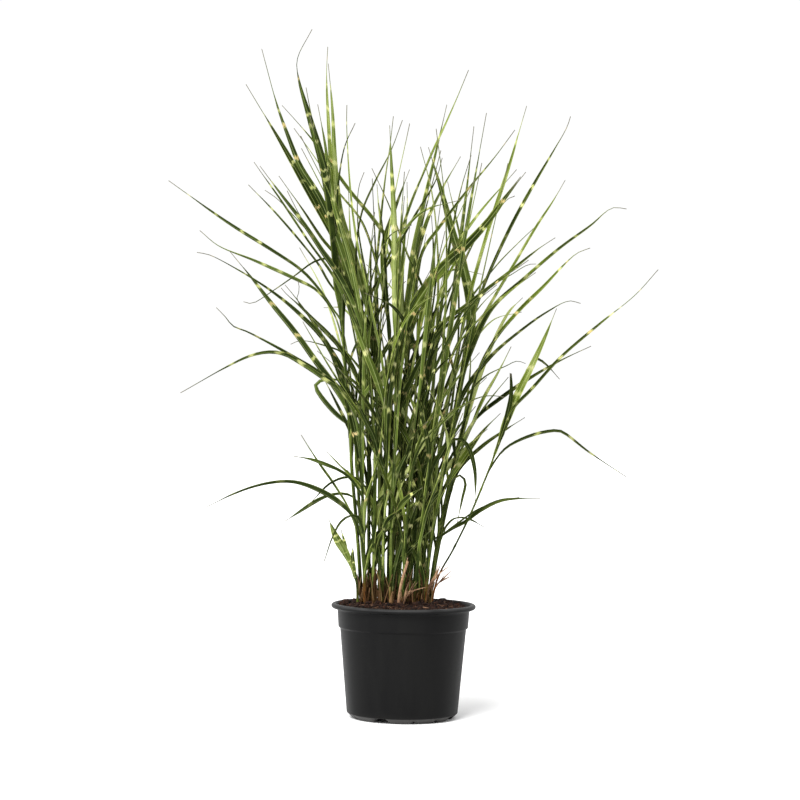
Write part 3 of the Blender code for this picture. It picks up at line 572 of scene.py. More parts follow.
BLADES = (
    # The tall group on the left.
    Blade(1, 590, ((-112, 715), (-133, 787), (-148, 838), (-150, 863), (-131, 903)),
          -60, 12, 50, 0.12, 0.5, 0.2, 0.12),
    Blade(1, 505, ((-98, 536), (-120, 563), (-140, 584), (-180, 611), (-240, 648), (-317, 701)),
          -10, 6, 28, 0.14, 0.6, 0.5),
    Blade(1, 485, ((-97, 528), (-120, 558), (-150, 574), (-200, 596), (-250, 616), (-275, 636)),
          60, 6.5, 25, 0.26, 0.5, 0.9),
    Blade(1, 606, ((-110, 690), (-125, 760), (-138, 826)), 10, 7, 20, 0.2, 0.3, 0.3),
    Blade(4, 500, ((-84, 600), (-105, 640), (-123, 672), (-170, 753), (-217, 829)),
          -20, 12, -60, 0.16, 0.6, 0.2, 0.06),
    Blade(5, 515, ((-85, 600), (-115, 675), (-145, 724), (-160, 760), (-175, 800), (-197, 876)),
          -80, 9.5, 50, 0.16, 0.55, 0.3, 0.10),
    Blade(12, 470, ((-20, 610), (-45, 650), (-80, 692), (-117, 743), (-145, 776), (-169, 802)),
          -60, 8, 10, 0.45, 0.6, 0.5),
    Blade(10, 500, ((-60, 645), (-95, 690), (-123, 731), (-153, 772)), 60, 7, 0, 0.4, 0.5, 0.4),
    Blade(7, 528, ((-70, 600), (-100, 665), (-125, 713), (-143, 746)), 100, 7, 15, 0.3, 0.4, 0.3),
    Blade(5, 480, ((-75, 590), (-100, 680), (-112, 755), (-122, 804)), -120, 8, 30, 0.4, 0.7, 0.5),
    Blade(4, 450, ((-80, 560), (-98, 650), (-106, 750), (-111, 840), (-110, 880)),
          30, 9.5, -35, 0.5, 0.7, 0.3),
    Blade(7, 500, ((-70, 600), (-90, 660), (-98, 720), (-103, 800), (-109, 858)),
          -50, 9, 45, 0.6, 0.7, 0.6),
    Blade(8, 440, ((-50, 540), (-70, 630), (-79, 700), (-84, 780), (-84, 804)),
          -110, 10, -40, 0.5, 0.9, 0.5),
    Blade(9, 465, ((-52, 560), (-67, 640), (-67, 695), (-60, 716)), 100, 6, 10, 0.15, 0.1, 0.3),
    Blade(4, 470, ((-84, 575), (-103, 600), (-122, 597), (-150, 577), (-180, 556), (-205, 541),
          (-216, 543)), -50, 6, 15, 0.10, 0.3, 0.5),
    Blade(4, 515, ((-105, 570), (-120, 595), (-165, 648), (-190, 675), (-212, 697)),
          80, 8, 30, 0.12, 0.5, 0.4),
    Blade(5, 455, ((-92, 565), (-135, 627), (-175, 685), (-190, 706), (-205, 727)),
          -30, 10, 30, 0.15, 0.6, 0.3),
    Blade(5, 500, ((-90, 575), (-112, 607), (-140, 648), (-165, 680), (-197, 722)),
          -100, 9, 10, 0.15, 0.5, 0.3),
    Blade(9, 420, ((-75, 560), (-110, 610), (-150, 655), (-175, 680), (-190, 690)),
          130, 6, 0, 0.2, 0.3, 0.3),
    Blade(7, 470, ((-85, 590), (-115, 628), (-140, 665), (-172, 709)), 40, 7, -10, 0.2, 0.3, 0.3),
    Blade(6, 425, ((-90, 575), (-120, 622), (-145, 660), (-161, 690)), 100, 6, 0, 0.2, 0.3, 0.3),
    # The left side, half way up.
    Blade(3, 400, ((-105, 487), (-140, 525), (-180, 557), (-230, 588), (-262, 604), (-278, 607)),
          -70, 7.5, 30, 0.14, 0.5, 0.3),
    Blade(3, 370, ((-95, 430), (-120, 463), (-152, 507), (-180, 541), (-208, 577), (-235, 609)),
          30, 12, 45, 0.20, 0.6, 0.4),
    Blade(2, 345, ((-80, 419), (-110, 443), (-140, 463), (-160, 474), (-180, 477), (-205, 472),
          (-240, 455), (-297, 422)),
          -90, 6.8, 38, 0.14, 0.6, 0.9),
    Blade(2, 375, ((-85, 425), (-115, 449), (-150, 470), (-170, 482), (-210, 503), (-230, 511),
          (-240, 523), (-252, 535)),
          -40, 9, 38, 0.06, 0.3, 0.5),
    Blade(6, 400, ((-72, 455), (-85, 477), (-110, 487), (-140, 493), (-153, 488)),
          70, 5, 0, 0.15, 0.1, 0.3),
    Blade(2, 390, ((-80, 425), (-100, 455), (-120, 488), (-138, 518)), -20, 6, 10, 0.3, 0.3, 0.3),
    Blade(6, 420, ((-85, 480), (-115, 512), (-145, 541), (-160, 554), (-167, 562)),
          20, 7, 10, 0.2, 0.3, 0.3),
    Blade(3, 425, ((-90, 465), (-110, 495), (-130, 525), (-150, 552), (-162, 566)),
          90, 6, 0, 0.2, 0.2, 0.3),
    Blade(6, 432, ((-97, 495), (-130, 528), (-146, 547), (-143, 560), (-145, 572)),
          -10, 5, 0, 0.2, 0.1, 0.3),
    Blade(4, 340, ((-65, 372), (-95, 398), (-117, 425), (-121, 434), (-115, 441), (-100, 444),
          (-80, 440), (-58, 428)),
          -30, 9, 22, 0.12, 0, 0.3),
    # The left side, low down.
    Blade(2, 225, ((-66, 257), (-85, 278), (-115, 296), (-150, 306), (-185, 303), (-225, 290), (-260, 273)),
          -20, 10, 42, 0.08, 0.1, 0.9),
    Blade(3, 262, ((-66, 288), (-82, 292), (-110, 285), (-158, 255)), 60, 8, 38, 0.22, 0.1, 0.5),
    Blade(2, 285, ((-75, 314), (-105, 330), (-125, 337), (-148, 341)), -60, 8, 35, 0.12, 0, 0.5),
    Blade(1, 245, ((-75, 275), (-95, 305), (-115, 333), (-138, 369)), 20, 7, 25, 0.32, 0.2, 0.5),
    Blade(4, 288, ((-62, 312), (-80, 313), (-100, 304), (-123, 281)), -40, 7, 35, 0.05, 0, 0.5),
    Blade(2, 300, ((-75, 318), (-90, 333), (-104, 347)), 40, 7, 0, 0.3, 0, 0.5),
    Blade(2, 238, ((-65, 264), (-80, 258), (-92, 240), (-105, 203)), -90, 6.5, 40, 0.1, 0, 0.5),
    Blade(2, 232, ((-50, 285), (-42, 312), (-34, 345), (-28, 420)), -80, 6, 40, 0.62, 0.8, 0.4),
    # The middle.
    Blade(4, 508, ((-68, 600), (-62, 660), (-45, 702), (-25, 743), (-10, 785)), -40, 7, 20, 0.2, 0.2, 0.5),
    Blade(11, 465, ((-16, 560), (-19, 650), (-23, 710), (-27, 778)), -90, 9, 35, 0.6, 0.9, 0.5),
    Blade(9, 440, ((-42, 560), (-37, 640), (-31, 710), (-26, 750), (-22, 790)), 60, 10, 45, 0.5, 0.8, 0.5),
    Blade(12, 545, ((-25, 600), (-38, 650), (-43, 700)), 90, 8, 40, 0.75, 0.6, 0.5),
    Blade(19, 425, ((34, 490), (20, 560), (-3, 610), (-28, 675), (-50, 721)), 20, 7, 10, 0.25, 0.3, 0.4),
    Blade(10, 510, ((-32, 580), (-33, 622), (-18, 670), (0, 720)), -10, 8, 15, 0.2, 0.9, 0.6),
    Blade(13, 480, ((-8, 560), (-5, 620), (-2, 670), (-3, 704)), 60, 8, 40, 0.5, 0.8, 0.5),
    Blade(12, 500, ((-12, 580), (-9, 640), (-6, 685)), -50, 7, 10, 0.4, 0.5, 0.4),
    Blade(11, 440, ((-8, 495), (0, 520), (12, 545), (45, 592), (72, 618), (105, 655), (130, 690),
          (153, 719)), -70, 14, 72, 0.22, 0.6, 0.3),
    Blade(12, 540, ((-16, 600), (0, 665), (28, 737), (50, 787), (76, 852)), -30, 9, 35, 0.4, 0.9, 0.6),
    Blade(13, 495, ((6, 600), (18, 665), (31, 725), (48, 806)), 70, 9, -40, 0.5, 0.8, 0.5),
    Blade(14, 425, ((5, 520), (20, 612), (40, 642), (80, 697), (110, 735), (138, 774)),
          -90, 10, 30, 0.18, 0.4, 0.3),
    Blade(7, 510, ((-48, 552), (-20, 605), (8, 658), (35, 706), (43, 736)), -100, 9, 45, 0.10, 0.5, 0.4),
    Blade(13, 460, ((2, 560), (22, 645), (42, 692), (67, 738)), 110, 9, 10, 0.25, 0.9, 0.5),
    Blade(16, 450, ((22, 540), (48, 595), (90, 660), (120, 697), (141, 722)), 50, 8, 10, 0.4, 0.5, 0.5),
    Blade(15, 395, ((24, 470), (36, 560), (40, 600), (48, 640)), -110, 8, 40, 0.10, 0.3, 0.4),
    Blade(17, 430, ((26, 500), (32, 560), (34, 600), (30, 660)), 100, 8, -30, 0.15, 0.4, 0.4),
    # The right side, high up.
    Blade(23, 448, ((83, 530), (76, 580), (57, 640), (42, 692), (24, 750)), 20, 13, 62, 0.30, 0.5, 0.4),
    Blade(23, 425, ((80, 560), (66, 635), (50, 705)), 90, 8, 20, 0.35, 0.6, 0.4),
    Blade(19, 430, ((48, 560), (58, 640), (69, 698), (81, 740)), -60, 8, 20, 0.3, 0.4, 0.4),
    Blade(22, 462, ((80, 540), (92, 590), (110, 655), (130, 722), (143, 770), (153, 806)),
          -50, 9.5, 50, 0.48, 0.6, 0.9),
    Blade(18, 492, ((45, 560), (75, 618), (110, 658), (130, 683), (139, 687)), -20, 7, 10, 0.4, 0.5, 0.5),
    Blade(22, 430, ((82, 510), (103, 573), (135, 645), (167, 707), (190, 748), (207, 780), (211, 793)),
          -80, 11, 30, 0.12, 0.9, 0.4),
    Blade(23, 430, ((88, 500), (115, 553), (142, 600), (170, 650), (190, 682), (205, 709)),
          40, 9, 20, 0.55, 0.6, 0.8),
    Blade(21, 440, ((66, 520), (112, 590), (150, 631), (172, 652)), 110, 7, 0, 0.4, 0.3, 0.4),
    Blade(18, 450, ((42, 508), (80, 543), (130, 583), (165, 613), (178, 623), (193, 633)),
          -100, 11, 45, 0.20, 0.1, 0.5),
    Blade(21, 410, ((60, 500), (100, 560), (135, 583), (158, 597), (168, 598)), 140, 6, 0, 0.2, 0.1, 0.4),
    Blade(24, 412, ((82, 470), (112, 537), (155, 579), (200, 619), (240, 650), (267, 673), (286, 672)),
          -60, 11, 32, 0.18, 0.4, 0.5),
    Blade(25, 400, ((97, 460), (120, 502), (150, 538), (180, 569), (205, 597), (222, 613), (239, 620)),
          -30, 11, 52, 0.30, 0.9, 0.4),
    Blade(20, 392, ((62, 480), (100, 530), (140, 566), (168, 587)), -130, 7, 0, 0.3, 0.5, 0.4),
    # The right side, low down.
    Blade(24, 370, ((75, 425), (108, 472), (150, 510), (185, 536), (212, 550), (227, 547)),
          80, 7, 20, 0.12, 0.4, 0.6),
    Blade(26, 368, ((140, 405), (165, 432), (200, 472), (255, 522), (300, 560), (329, 593)),
          -90, 8, 30, 0.20, 0.8, 0.4, 0.14),
    Blade(26, 350, ((143, 418), (163, 462), (180, 500), (196, 540)), 10, 10, 50, 0.48, 0.6, 0.6),
    Blade(27, 345, ((88, 387), (130, 424), (175, 455), (215, 478), (242, 491)), -10, 9, 20, 0.15, 0.8, 0.4),
    Blade(26, 362, ((148, 430), (162, 465), (171, 473), (183, 466), (201, 447)), 60, 7, 0, 0.1, 0.1, 0.4),
    Blade(25, 350, ((84, 378), (103, 420), (120, 453), (137, 489)), -70, 11, 45, 0.6, 0.5, 0.7),
    Blade(24, 352, ((80, 422), (105, 450), (130, 463), (145, 470), (156, 467)), 60, 6, 0, 0.2, 0.1, 0.4),
    Blade(26, 372, ((133, 400), (137, 425), (136, 454)), -20, 6.5, 70, -0.1, 0, 0.4, -0.4),
    Blade(27, 350, ((90, 388), (115, 425), (134, 449)), 100, 7, 0, 0.35, 0.4, 0.5),
    Blade(20, 370, ((60, 400), (95, 421), (115, 424), (129, 422)), -120, 5, 0, 0.2, 0.1, 0.4),
    Blade(26, 325, ((130, 353), (165, 372), (198, 379), (206, 377), (240, 352), (290, 320)),
          -30, 5.5, 30, 0.05, 0.5, 0.6),
    Blade(22, 222, ((52, 242), (90, 270), (122, 286), (150, 291)), -110, 6.5, 30, 0.10, 0, 0.5),
    Blade(25, 232, ((60, 247), (80, 256), (100, 272), (125, 285), (150, 289), (178, 290)),
          -50, 9.5, 38, 0.10, 0, 0.5),
    Blade(27, 240, ((65, 262), (85, 261), (105, 251)), 60, 5, 0, 0.2, 0, 0.5),
    Blade(24, 330, ((58, 356), (69, 367), (82, 355), (91, 326), (92, 284)), -65, 7, 32, 0.06, 0, 0.5),
    Blade(25, 288, ((62, 312), (72, 318), (78, 310), (75, 290), (69, 257)), -20, 6, 35, 0.10, 0.2, 0.5),
    Blade(24, 285, ((62, 318), (82, 350), (105, 381), (124, 401)), 20, 9, 15, 0.35, 0.4, 0.5),
    Blade(27, 288, ((70, 325), (100, 357), (130, 379), (156, 396)), 120, 6, 0, 0.2, 0.1, 0.5),
)

# Short leaves inside the clump, between the frame's culms, in the same form.
MIDDLE_BLADES = (
    Blade(1, 508, ((-87, 553), (-92, 600), (-97, 645), (-107, 706), (-120, 750), (-132, 790)),
          -150, 18, 78, 0.12, 0.5, 0.2),
    Blade(14, 290, ((-3, 324), (-8, 383), (-6, 410), (7, 440), (16, 461), (32, 489), (48, 510),
          (69, 530), (117, 570)),
          -135, 12, 65, 0.05, 0.6, 0.3),
    Blade(10, 385, ((-13, 399), (-2, 446), (9, 475), (18, 496), (29, 519), (41, 541), (66, 581)),
          -130, 9, 55, 0.08, 0.9, 0.3),
    Blade(8, 400, ((-39, 443), (-50, 471), (-60, 495), (-69, 518), (-77, 534), (-85, 555)),
          -140, 9, 50, 0.30, 0.8, 0.4),
    Blade(7, 470, ((-46, 502), (-55, 523), (-65, 542), (-76, 565), (-85, 586), (-91, 605)),
          -120, 7, 45, 0.08, 0.6, 0.3),
    Blade(18, 480, ((36, 508), (46, 503), (56, 478), (63, 449), (66, 433)), -120, 5, 40, 0.05, 0.2, 0.3),
    Blade(12, 490, ((-8, 508), (-2, 504), (9, 484), (18, 461), (28, 438)), -110, 4.5, 30, 0.03, 0.2, 0.3),
    Blade(18, 425, ((32, 470), (42, 494), (47, 507)), -110, 8, 55, 0.03, 0.3, 0.3),
    Blade(8, 240, ((-25, 256), (-12, 268), (0, 282), (11, 293), (23, 302)), -120, 13, 75, 0.15, 0.9, 0.2),
    Blade(8, 315, ((-32, 335), (-42, 368), (-54, 391), (-64, 412), (-70, 428)),
          -125, 7, 45, 0.05, 0.2, 0.3),
    Blade(10, 320, ((-23, 365), (-34, 390), (-41, 409), (-49, 428)), -115, 6, 40, 0.06, 0.4, 0.3),
    Blade(20, 315, ((30, 360), (24, 385), (17, 412), (13, 429)), -120, 6, 45, 0.05, 0.4, 0.3),
    Blade(15, 310, ((12, 335), (22, 359), (37, 379), (48, 393), (62, 406)), -130, 6.5, 45, 0.08, 0.4, 0.3),
    Blade(20, 232, ((34, 282), (47, 321), (57, 354), (68, 383), (75, 401)), -125, 7, 40, 0.38, 0.5, 0.5),
    Blade(14, 300, ((1, 340), (8, 363), (18, 379), (29, 389)), -120, 6, 45, 0.04, 0.3, 0.3),
    Blade(18, 300, ((22, 334), (30, 354), (41, 369), (56, 381)), -110, 7, 45, 0.08, 0.3, 0.3),
)

# The young shoots: short stems with broad blades.
YOUNG_STEMS = (
    Stem((-60, -9), ((-62, 177), (-67, 191), (-72, 203)), -24, 2.4, 0.6),
    Stem((14, 34), ((18, 190), (22, 215)), 42, 2.2, 0.4),
)
YOUNG_BLADES = (
    Blade(1, 198, ((-80, 217), (-90, 236), (-100, 259)), -50, 12, 60, 0.55, 1.2, 0.75),
    Blade(1, 196, ((-77, 220), (-84, 246)), -20, 9, 50, 0.45, 1.2, 0.75),
    Blade(1, 186, ((-68, 205), (-67, 225)), -30, 7, 50, 0.4, 1.1, 0.7),
    Blade(2, 208, ((28, 250), (40, 300)), 95, 10, 20, 0.5, 0.5, 0.4),
    Blade(2, 205, ((16, 245), (4, 285)), 105, 9, 10, 0.4, 0.4, 0.4),
)

# The dry stalks: dead stumps of last year's growth.
DRY_STALKS = (
    Stem((-8, -37), ((-4, 172), (5, 206)), -42, 2.1, 0.0, 0.1),
    Stem((-26, -14), ((-27, 165), (-29, 187)), -15, 2.4, 0.0, 0.2),
    Stem((-4, -32), ((4, 159), (13, 168)), -44, 1.1, 0.0, 1.0),
    Stem((26, -9), ((33, 172), (44, 187)), -22, 1.8, 0.0, 0.7),
    Stem((36, -3), ((41, 170), (53, 185)), 0, 1.4, 0.0, 0.7),
)


@dataclass(frozen=True)
class Growth:
    """The rules that the runs of culms and blades follow, the same as the frame's."""

    steps: int = 8
    foot_height: float = 0.1380
    stem_tolerance: float = 0.0018
    blade_tolerance: float = 0.0040
    stem_reach: float = 1.3
    blade_reach: float = 0.3
    girth: float = 1.12
    taper: float = 0.42
    stem_bend: float = 1.2
    blade_bend: float = 1.3
    shifts: tuple[int, ...] = (0, 14, -14, 28, -28, 44, -44, 62, -62, 82, -82, 104, -104, 130, -130)
    bows: tuple[int, ...] = (0, 12, -12, 24, -24)
    seed: int = 7
    fill_blades: tuple[int, ...] = (
        1, 2, 2, 1, 2, 3, 2, 3, 3, 2, 3, 1, 2, 2, 3, 2, 3, 2, 2, 3, 2, 1, 1, 1, 1, 0, 1,
    )
    fill_lengths: Place = (0.24, 0.50)
    fill_widths: Place = (0.007, 0.012)
    fill_starts: Place = (0.45, 0.97)
    fill_slopes: Place = (-15.0, 70.0)
    fill_swing: float = 42.0
    fill_tries: int = 40
    fill_points: int = 4
    fill_bend: float = 1.2
    fill_top: float = 0.78
    fill_reach: float = 0.17

    def at_depth(self, seen: Place, depth: float) -> Vector:
        """The point at that depth which is seen from the eye at the place (x, z), in millimetres."""
        point = Vector((seen[0] * MM, 0.0, seen[1] * MM))
        return EYE + (point - EYE) * ((depth - EYE.y) / -EYE.y)

    def smooth(self, points: Run) -> Run:
        """A centripetal Catmull-Rom run.

        Args:
            points: the places that it goes through.

        Returns:
            The run, with the same number of steps between every two places.
        """
        ends = [2 * points[0] - points[1], *points, 2 * points[-1] - points[-2]]
        run = [points[0]]
        for a, b, c, d in zip(ends, ends[1:], ends[2:], ends[3:]):
            t1 = (b - a).length ** 0.5
            t2 = t1 + (c - b).length ** 0.5
            t3 = t2 + (d - c).length ** 0.5
            for step in range(1, self.steps + 1):
                t = t1 + (t2 - t1) * step / self.steps
                first, middle = a.lerp(b, t / t1), b.lerp(c, (t - t1) / (t2 - t1))
                last = c.lerp(d, (t - t2) / (t3 - t2))
                left, right = first.lerp(middle, t / t2), middle.lerp(last, (t - t1) / (t3 - t1))
                run.append(left.lerp(right, (t - t1) / (t2 - t1)))
        return run

    def thinned(self, run: Run, tolerance: float) -> Run:
        """The points after the first that keep a run's shape.

        Args:
            run: the run.
            tolerance: how far its straight stretches may leave it.

        Returns:
            The points that are kept, in their order.
        """
        first, last = 0, len(run) - 1
        kept, spans = {last}, [(first, last)]
        while spans:
            start, end = spans.pop()
            chord = run[end] - run[start]
            farthest, distance = None, tolerance
            for index in range(start + 1, end):
                share = (run[index] - run[start]).dot(chord) / chord.length_squared
                away = (run[index] - run[start] - chord * share).length
                if away > distance:
                    farthest, distance = index, away
            if farthest is not None:
                kept.add(farthest)
                spans += [(start, farthest), (farthest, end)]
        return [run[index] for index in sorted(kept)]

    def stem_run(self, stem: Stem, depth: float) -> Run:
        """The smooth run of a culm's axis.

        Args:
            stem: the culm's line of the table.
            depth: the depth of its top.

        Returns:
            The run, from its sunk foot to its top.
        """
        foot = Vector((stem.foot[0] * MM, stem.foot[1] * MM, self.foot_height))
        top = stem.seen[-1][1] * MM
        points = [foot]
        for place in stem.seen:
            rise = (place[1] * MM - self.foot_height) / (top - self.foot_height)
            points.append(self.at_depth(place, foot.y + (depth - foot.y) * rise**self.stem_bend))
        return self.smooth(points)

    def stem_radius(self, stem: Stem, height: float, top: float) -> float:
        """The radius of a culm at that height."""
        rise = (height - self.foot_height) / (top - self.foot_height)
        return stem.radius * MM * (self.girth - self.taper * rise)

    def blade_run(self, run: Run, blade: Blade, depth: float, bow: float = 0.0) -> Run:
        """The smooth run of a blade's keel.

        Args:
            run: its culm's run.
            blade: the blade's line of the table.
            depth: the depth of its tip.
            bow: how far it bows to the back on its way there.

        Returns:
            The run, from the culm's axis to the tip.
        """
        above = next((index for index, point in enumerate(run) if point.z >= blade.leaves_at * MM), len(run))
        start = off_the_ends(run, above)
        base = run[start]
        lengths = lengths_of([Vector((base.x, base.z)), *(Vector((x * MM, z * MM)) for x, z in blade.seen)])
        points = [run[start - 1], base]
        for place, length in zip(blade.seen, lengths[1:]):
            share = length / lengths[-1]
            across = base.y + (depth - base.y) * share**self.blade_bend + bow * math.sin(math.pi * share)
            points.append(self.at_depth(place, across))
        return self.smooth(points)[self.steps :]

    def fill_run(self, run: Run, direction: float, length: float, leaves_at: float, tip_slope: float) -> Run:
        """The smooth run of a blade that rises along its culm and bends over.

        Args:
            run: its culm's run.
            direction: the way that it bends over, as an angle from +X.
            length: its length.
            leaves_at: where it leaves the culm, as a share of the culm's points.
            tip_slope: how steeply its tip still rises.

        Returns:
            The run, from the culm's axis to the tip.
        """
        start = off_the_ends(run, int(leaves_at * (len(run) - 1)))
        along = (run[start + 1] - run[start - 1]).normalized()
        over = level(direction) * math.cos(tip_slope) + UP * math.sin(tip_slope)
        points = [run[start - 1], run[start]]
        for step in range(self.fill_points):
            share = ((step + 0.5) / self.fill_points) ** self.fill_bend
            points.append(points[-1] + along.slerp(over, share) * length / self.fill_points)
        return self.smooth(points)[self.steps :]

    def ways(self, run: Run, blade: Blade) -> Iterator[Run]:
        """The runs that a blade of the tables may take, the best first."""
        for bow, shift in product(self.bows, self.shifts):
            yield self.blade_run(run, blade, (blade.depth + shift) * MM, bow * MM)

    def fill_ways(self, run: Run, rng: random.Random) -> Iterator[Run]:
        """The runs that a blade of the front or the back may take.

        Args:
            run: its culm's run.
            rng: the random draws.

        Returns:
            The runs that stay low and near enough.
        """
        for _ in range(self.fill_tries):
            forwards = rng.choice((-90.0, 90.0))
            direction = math.radians(forwards + rng.uniform(-self.fill_swing, self.fill_swing))
            length, leaves_at = rng.uniform(*self.fill_lengths), rng.uniform(*self.fill_starts)
            tip_slope = math.radians(rng.uniform(*self.fill_slopes))
            way = self.fill_run(run, direction, length, leaves_at, tip_slope)
            low = max(point.z for point in way) < self.fill_top
            if low and max(abs(point.x) for point in way) < self.fill_reach:
                yield way


class Guide:
    """The frame's solid of one shoot, which tells the way that its culm and blades took."""

    def __init__(self, node: Object, growth: Growth) -> None:
        """Keeps a search tree of a node's mesh.

        Args:
            node: the node's object.
            growth: the rules of the runs.
        """
        shape = bmesh.new()
        shape.from_mesh(node.data)
        self.tree = BVHTree.FromBMesh(shape)
        shape.free()
        self.growth = growth

    def holds(self, run: Run, tolerance: float, distance: float) -> bool:
        """Whether the solid's surface comes that near to every point that keeps the run's shape."""
        kept = self.growth.thinned(run, tolerance)
        return all(self.tree.find_nearest(point, distance)[0] is not None for point in kept)

    def stem(self, stem: Stem) -> Run:
        """The run that the culm took.

        Args:
            stem: the culm's line of the table.

        Returns:
            Its run in the solid.

        Raises:
            ValueError: where the solid holds none of its ways.
        """
        for shift in self.growth.shifts:
            run = self.growth.stem_run(stem, (stem.depth + shift) * MM)
            if self.holds(run, self.growth.stem_tolerance, self.growth.stem_reach * stem.radius * MM):
                return run
        raise ValueError(f"no culm at {stem.foot}")

    def blade(self, ways: Iterator[Run]) -> Run | None:
        """The first of the ways that a blade of the solid follows, or None."""
        tolerance, reach = self.growth.blade_tolerance, self.growth.blade_reach * MM
        return next((run for run in ways if self.holds(run, tolerance, reach)), None)


# -------- runs and meshes


def lengths_of(run: Run) -> list[float]:
    """How far along a run each of its points is."""
    steps = ((there - here).length for here, there in zip(run, run[1:]))
    return list(accumulate(steps, initial=0.0))


def off_the_ends(run: Run, index: int) -> int:
    """The index, or the nearest one that is neither of the run's ends."""
    return max(1, min(index, len(run) - 2))


def level(angle: float) -> Vector:
    """The level direction at that angle from +X."""
    return Vector((math.cos(angle), math.sin(angle), 0.0))


def nearest(values: list[float], wanted: float) -> int:
    """The index of the value that is nearest to the wanted one."""
    return min(range(len(values)), key=lambda index: abs(values[index] - wanted))


def along_at(run: Run, index: int) -> Vector:
    """The run's direction at a point."""
    return (run[min(index + 1, len(run) - 1)] - run[max(index - 1, 0)]).normalized()


def frame_at(run: Run, index: int) -> tuple[Vector, Vector, Vector]:
    """The directions of a standing tube at a point of its axis.

    Args:
        run: the axis.
        index: the point's index.

    Returns:
        The direction along it, and two across it.
    """
    along = along_at(run, index)
    across = along.cross(Vector((0.0, 1.0, 0.0))).normalized()
    return along, across, across.cross(along)


def resampled(run: Run, count: int) -> Run:
    """A run again, in equal steps.

    Args:
        run: the run.
        count: how many steps it gets.

    Returns:
        The new points, one more than the steps.
    """
    lengths = lengths_of(run)
    points = []
    at = 0
    for step in range(count + 1):
        wanted = lengths[-1] * step / count
        while at < len(run) - 2 and lengths[at + 1] < wanted:
            at += 1
        span = lengths[at + 1] - lengths[at]
        points.append(run[at].lerp(run[at + 1], (wanted - lengths[at]) / span if span else 0.0))
    return points


def step_up(value: float, start: float, end: float) -> float:
    """A smooth step from 0 at start to 1 at end."""
    share = min(1.0, max(0.0, (value - start) / (end - start)))
    return share * share * (3 - 2 * share)


def tube_grid(shape: Mesh, run: Run, radii: list[float], sides: int) -> list[tuple]:
    """Adds a grid rolled to a tube, its seam still open.

    Args:
        shape: the mesh it joins.
        run: the tube's axis.
        radii: its radius at each point of the axis.
        sides: faces around it.

    Returns:
        Its vertices, each with its turn round the axis and its row along it.
    """
    rows = len(run) - 1
    grid = bmesh.ops.create_grid(shape, x_segments=sides, y_segments=rows, size=1.0)["verts"]
    frames = [frame_at(run, index) for index in range(len(run))]
    made = []
    for vertex in grid:
        turn, row = math.pi * (vertex.co.x + 1), round((vertex.co.y + 1) / 2 * rows)
        _, across, below = frames[row]
        vertex.co = run[row] + (across * math.sin(turn) + below * math.cos(turn)) * radii[row]
        made.append((vertex, turn, row))
    return made


def close_seam(shape: Mesh, grid: list[tuple]) -> None:
    """Joins the doubled vertices of a rolled grid."""
    bmesh.ops.remove_doubles(shape, verts=[vertex for vertex, _, _ in grid], dist=1e-6)


def close_ends(shape: Mesh) -> None:
    """Fills every open end."""
    bmesh.ops.holes_fill(shape, edges=[edge for edge in shape.edges if edge.is_boundary])


def as_object(name: str, shape: Mesh, finish: Material, smooth: bool = True) -> Object:
    """A mesh as an object in the scene.

    Args:
        name: the object's name.
        shape: its mesh, which is freed.
        finish: its material.
        smooth: whether its faces are shaded smooth.

    Returns:
        The object.
    """
    data = bpy.data.meshes.new(name)
    for face in shape.faces:
        face.smooth = smooth
    shape.to_mesh(data)
    shape.free()
    data.materials.append(finish)
    return linked(bpy.data.objects.new(name, data))


def linked(made: Object) -> Object:
    """The object, put in the scene."""
    bpy.context.scene.collection.objects.link(made)
    return made


def dressed(piece: Object, slot: Slot, node: str | None = None) -> Object:
    """Hands a piece to the frame.

    Args:
        piece: the piece, which rides on the clump.
        slot: the record's slot of its finish; not used.
        node: the frame's node that it stands for, if any.

    Returns:
        The piece.
    """
    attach(piece, BODY)
    if node:
        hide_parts(node)
    return piece


# -------- leaves and culms


class Station(NamedTuple):
    """A place along a leaf: its centre line, its own directions, its width, how far its section is curled,
    its share of the leaf's length, how far along it is, and how steeply its halves rise from the midrib."""

    centre: Vector
    along: Vector
    across: Vector
    below: Vector
    width: float
    curl: float
    share: float
    length: float
    fold: float = 0.0


class Ribbon(NamedTuple):
    """A torn strip: its root, how far its tip is straight ahead, how far a bend takes the tip, its width, its
    turn about its own length, how far it is twisted, the share of its width that it loses at the tip, its
    curl, its steps and how thick it is."""

    root: Vector
    ahead: Vector
    bend: Vector
    width: float
    turn: float
    twist: float
    taper: float
    curl: float
    steps: int
    thickness: float = 0.0003

    def stations(self) -> list[Station]:
        """The places along the strip.

        Returns:
            The places, from its root to its tip.
        """
        shares = [step / self.steps for step in range(self.steps + 1)]
        line = [self.root + self.ahead * share + self.bend * share**2 for share in shares]
        made = []
        for index, share in enumerate(shares):
            along = along_at(line, index)
            turned = Matrix.Rotation(self.turn + self.twist * share, 3, along)
            across = turned @ along.orthogonal().normalized()
            section = self.width * (1 - self.taper * share**2), self.curl
            length = 1 + self.ahead.length * share
            made.append(Station(line[index], along, across, across.cross(along), *section, share, length))
        return made


@dataclass
class LeafMarks:
    """What the leaf finish reads from one leaf, and where its bands and its dry tip begin."""

    tone: float
    banding: float = 0.0
    sheath: float = 0.0
    dry: float = 0.0
    soft: float = 0.0
    rust: float = 0.0
    offset: float = 0.0
    tip_from: float = 0.0
    stretch: float = 1.0

    def looks(self) -> dict[str, float]:
        """The marks that are the same all over the leaf."""
        return {name: getattr(self, name) for name in ("tone", "banding", "sheath", "dry", "soft", "rust")}


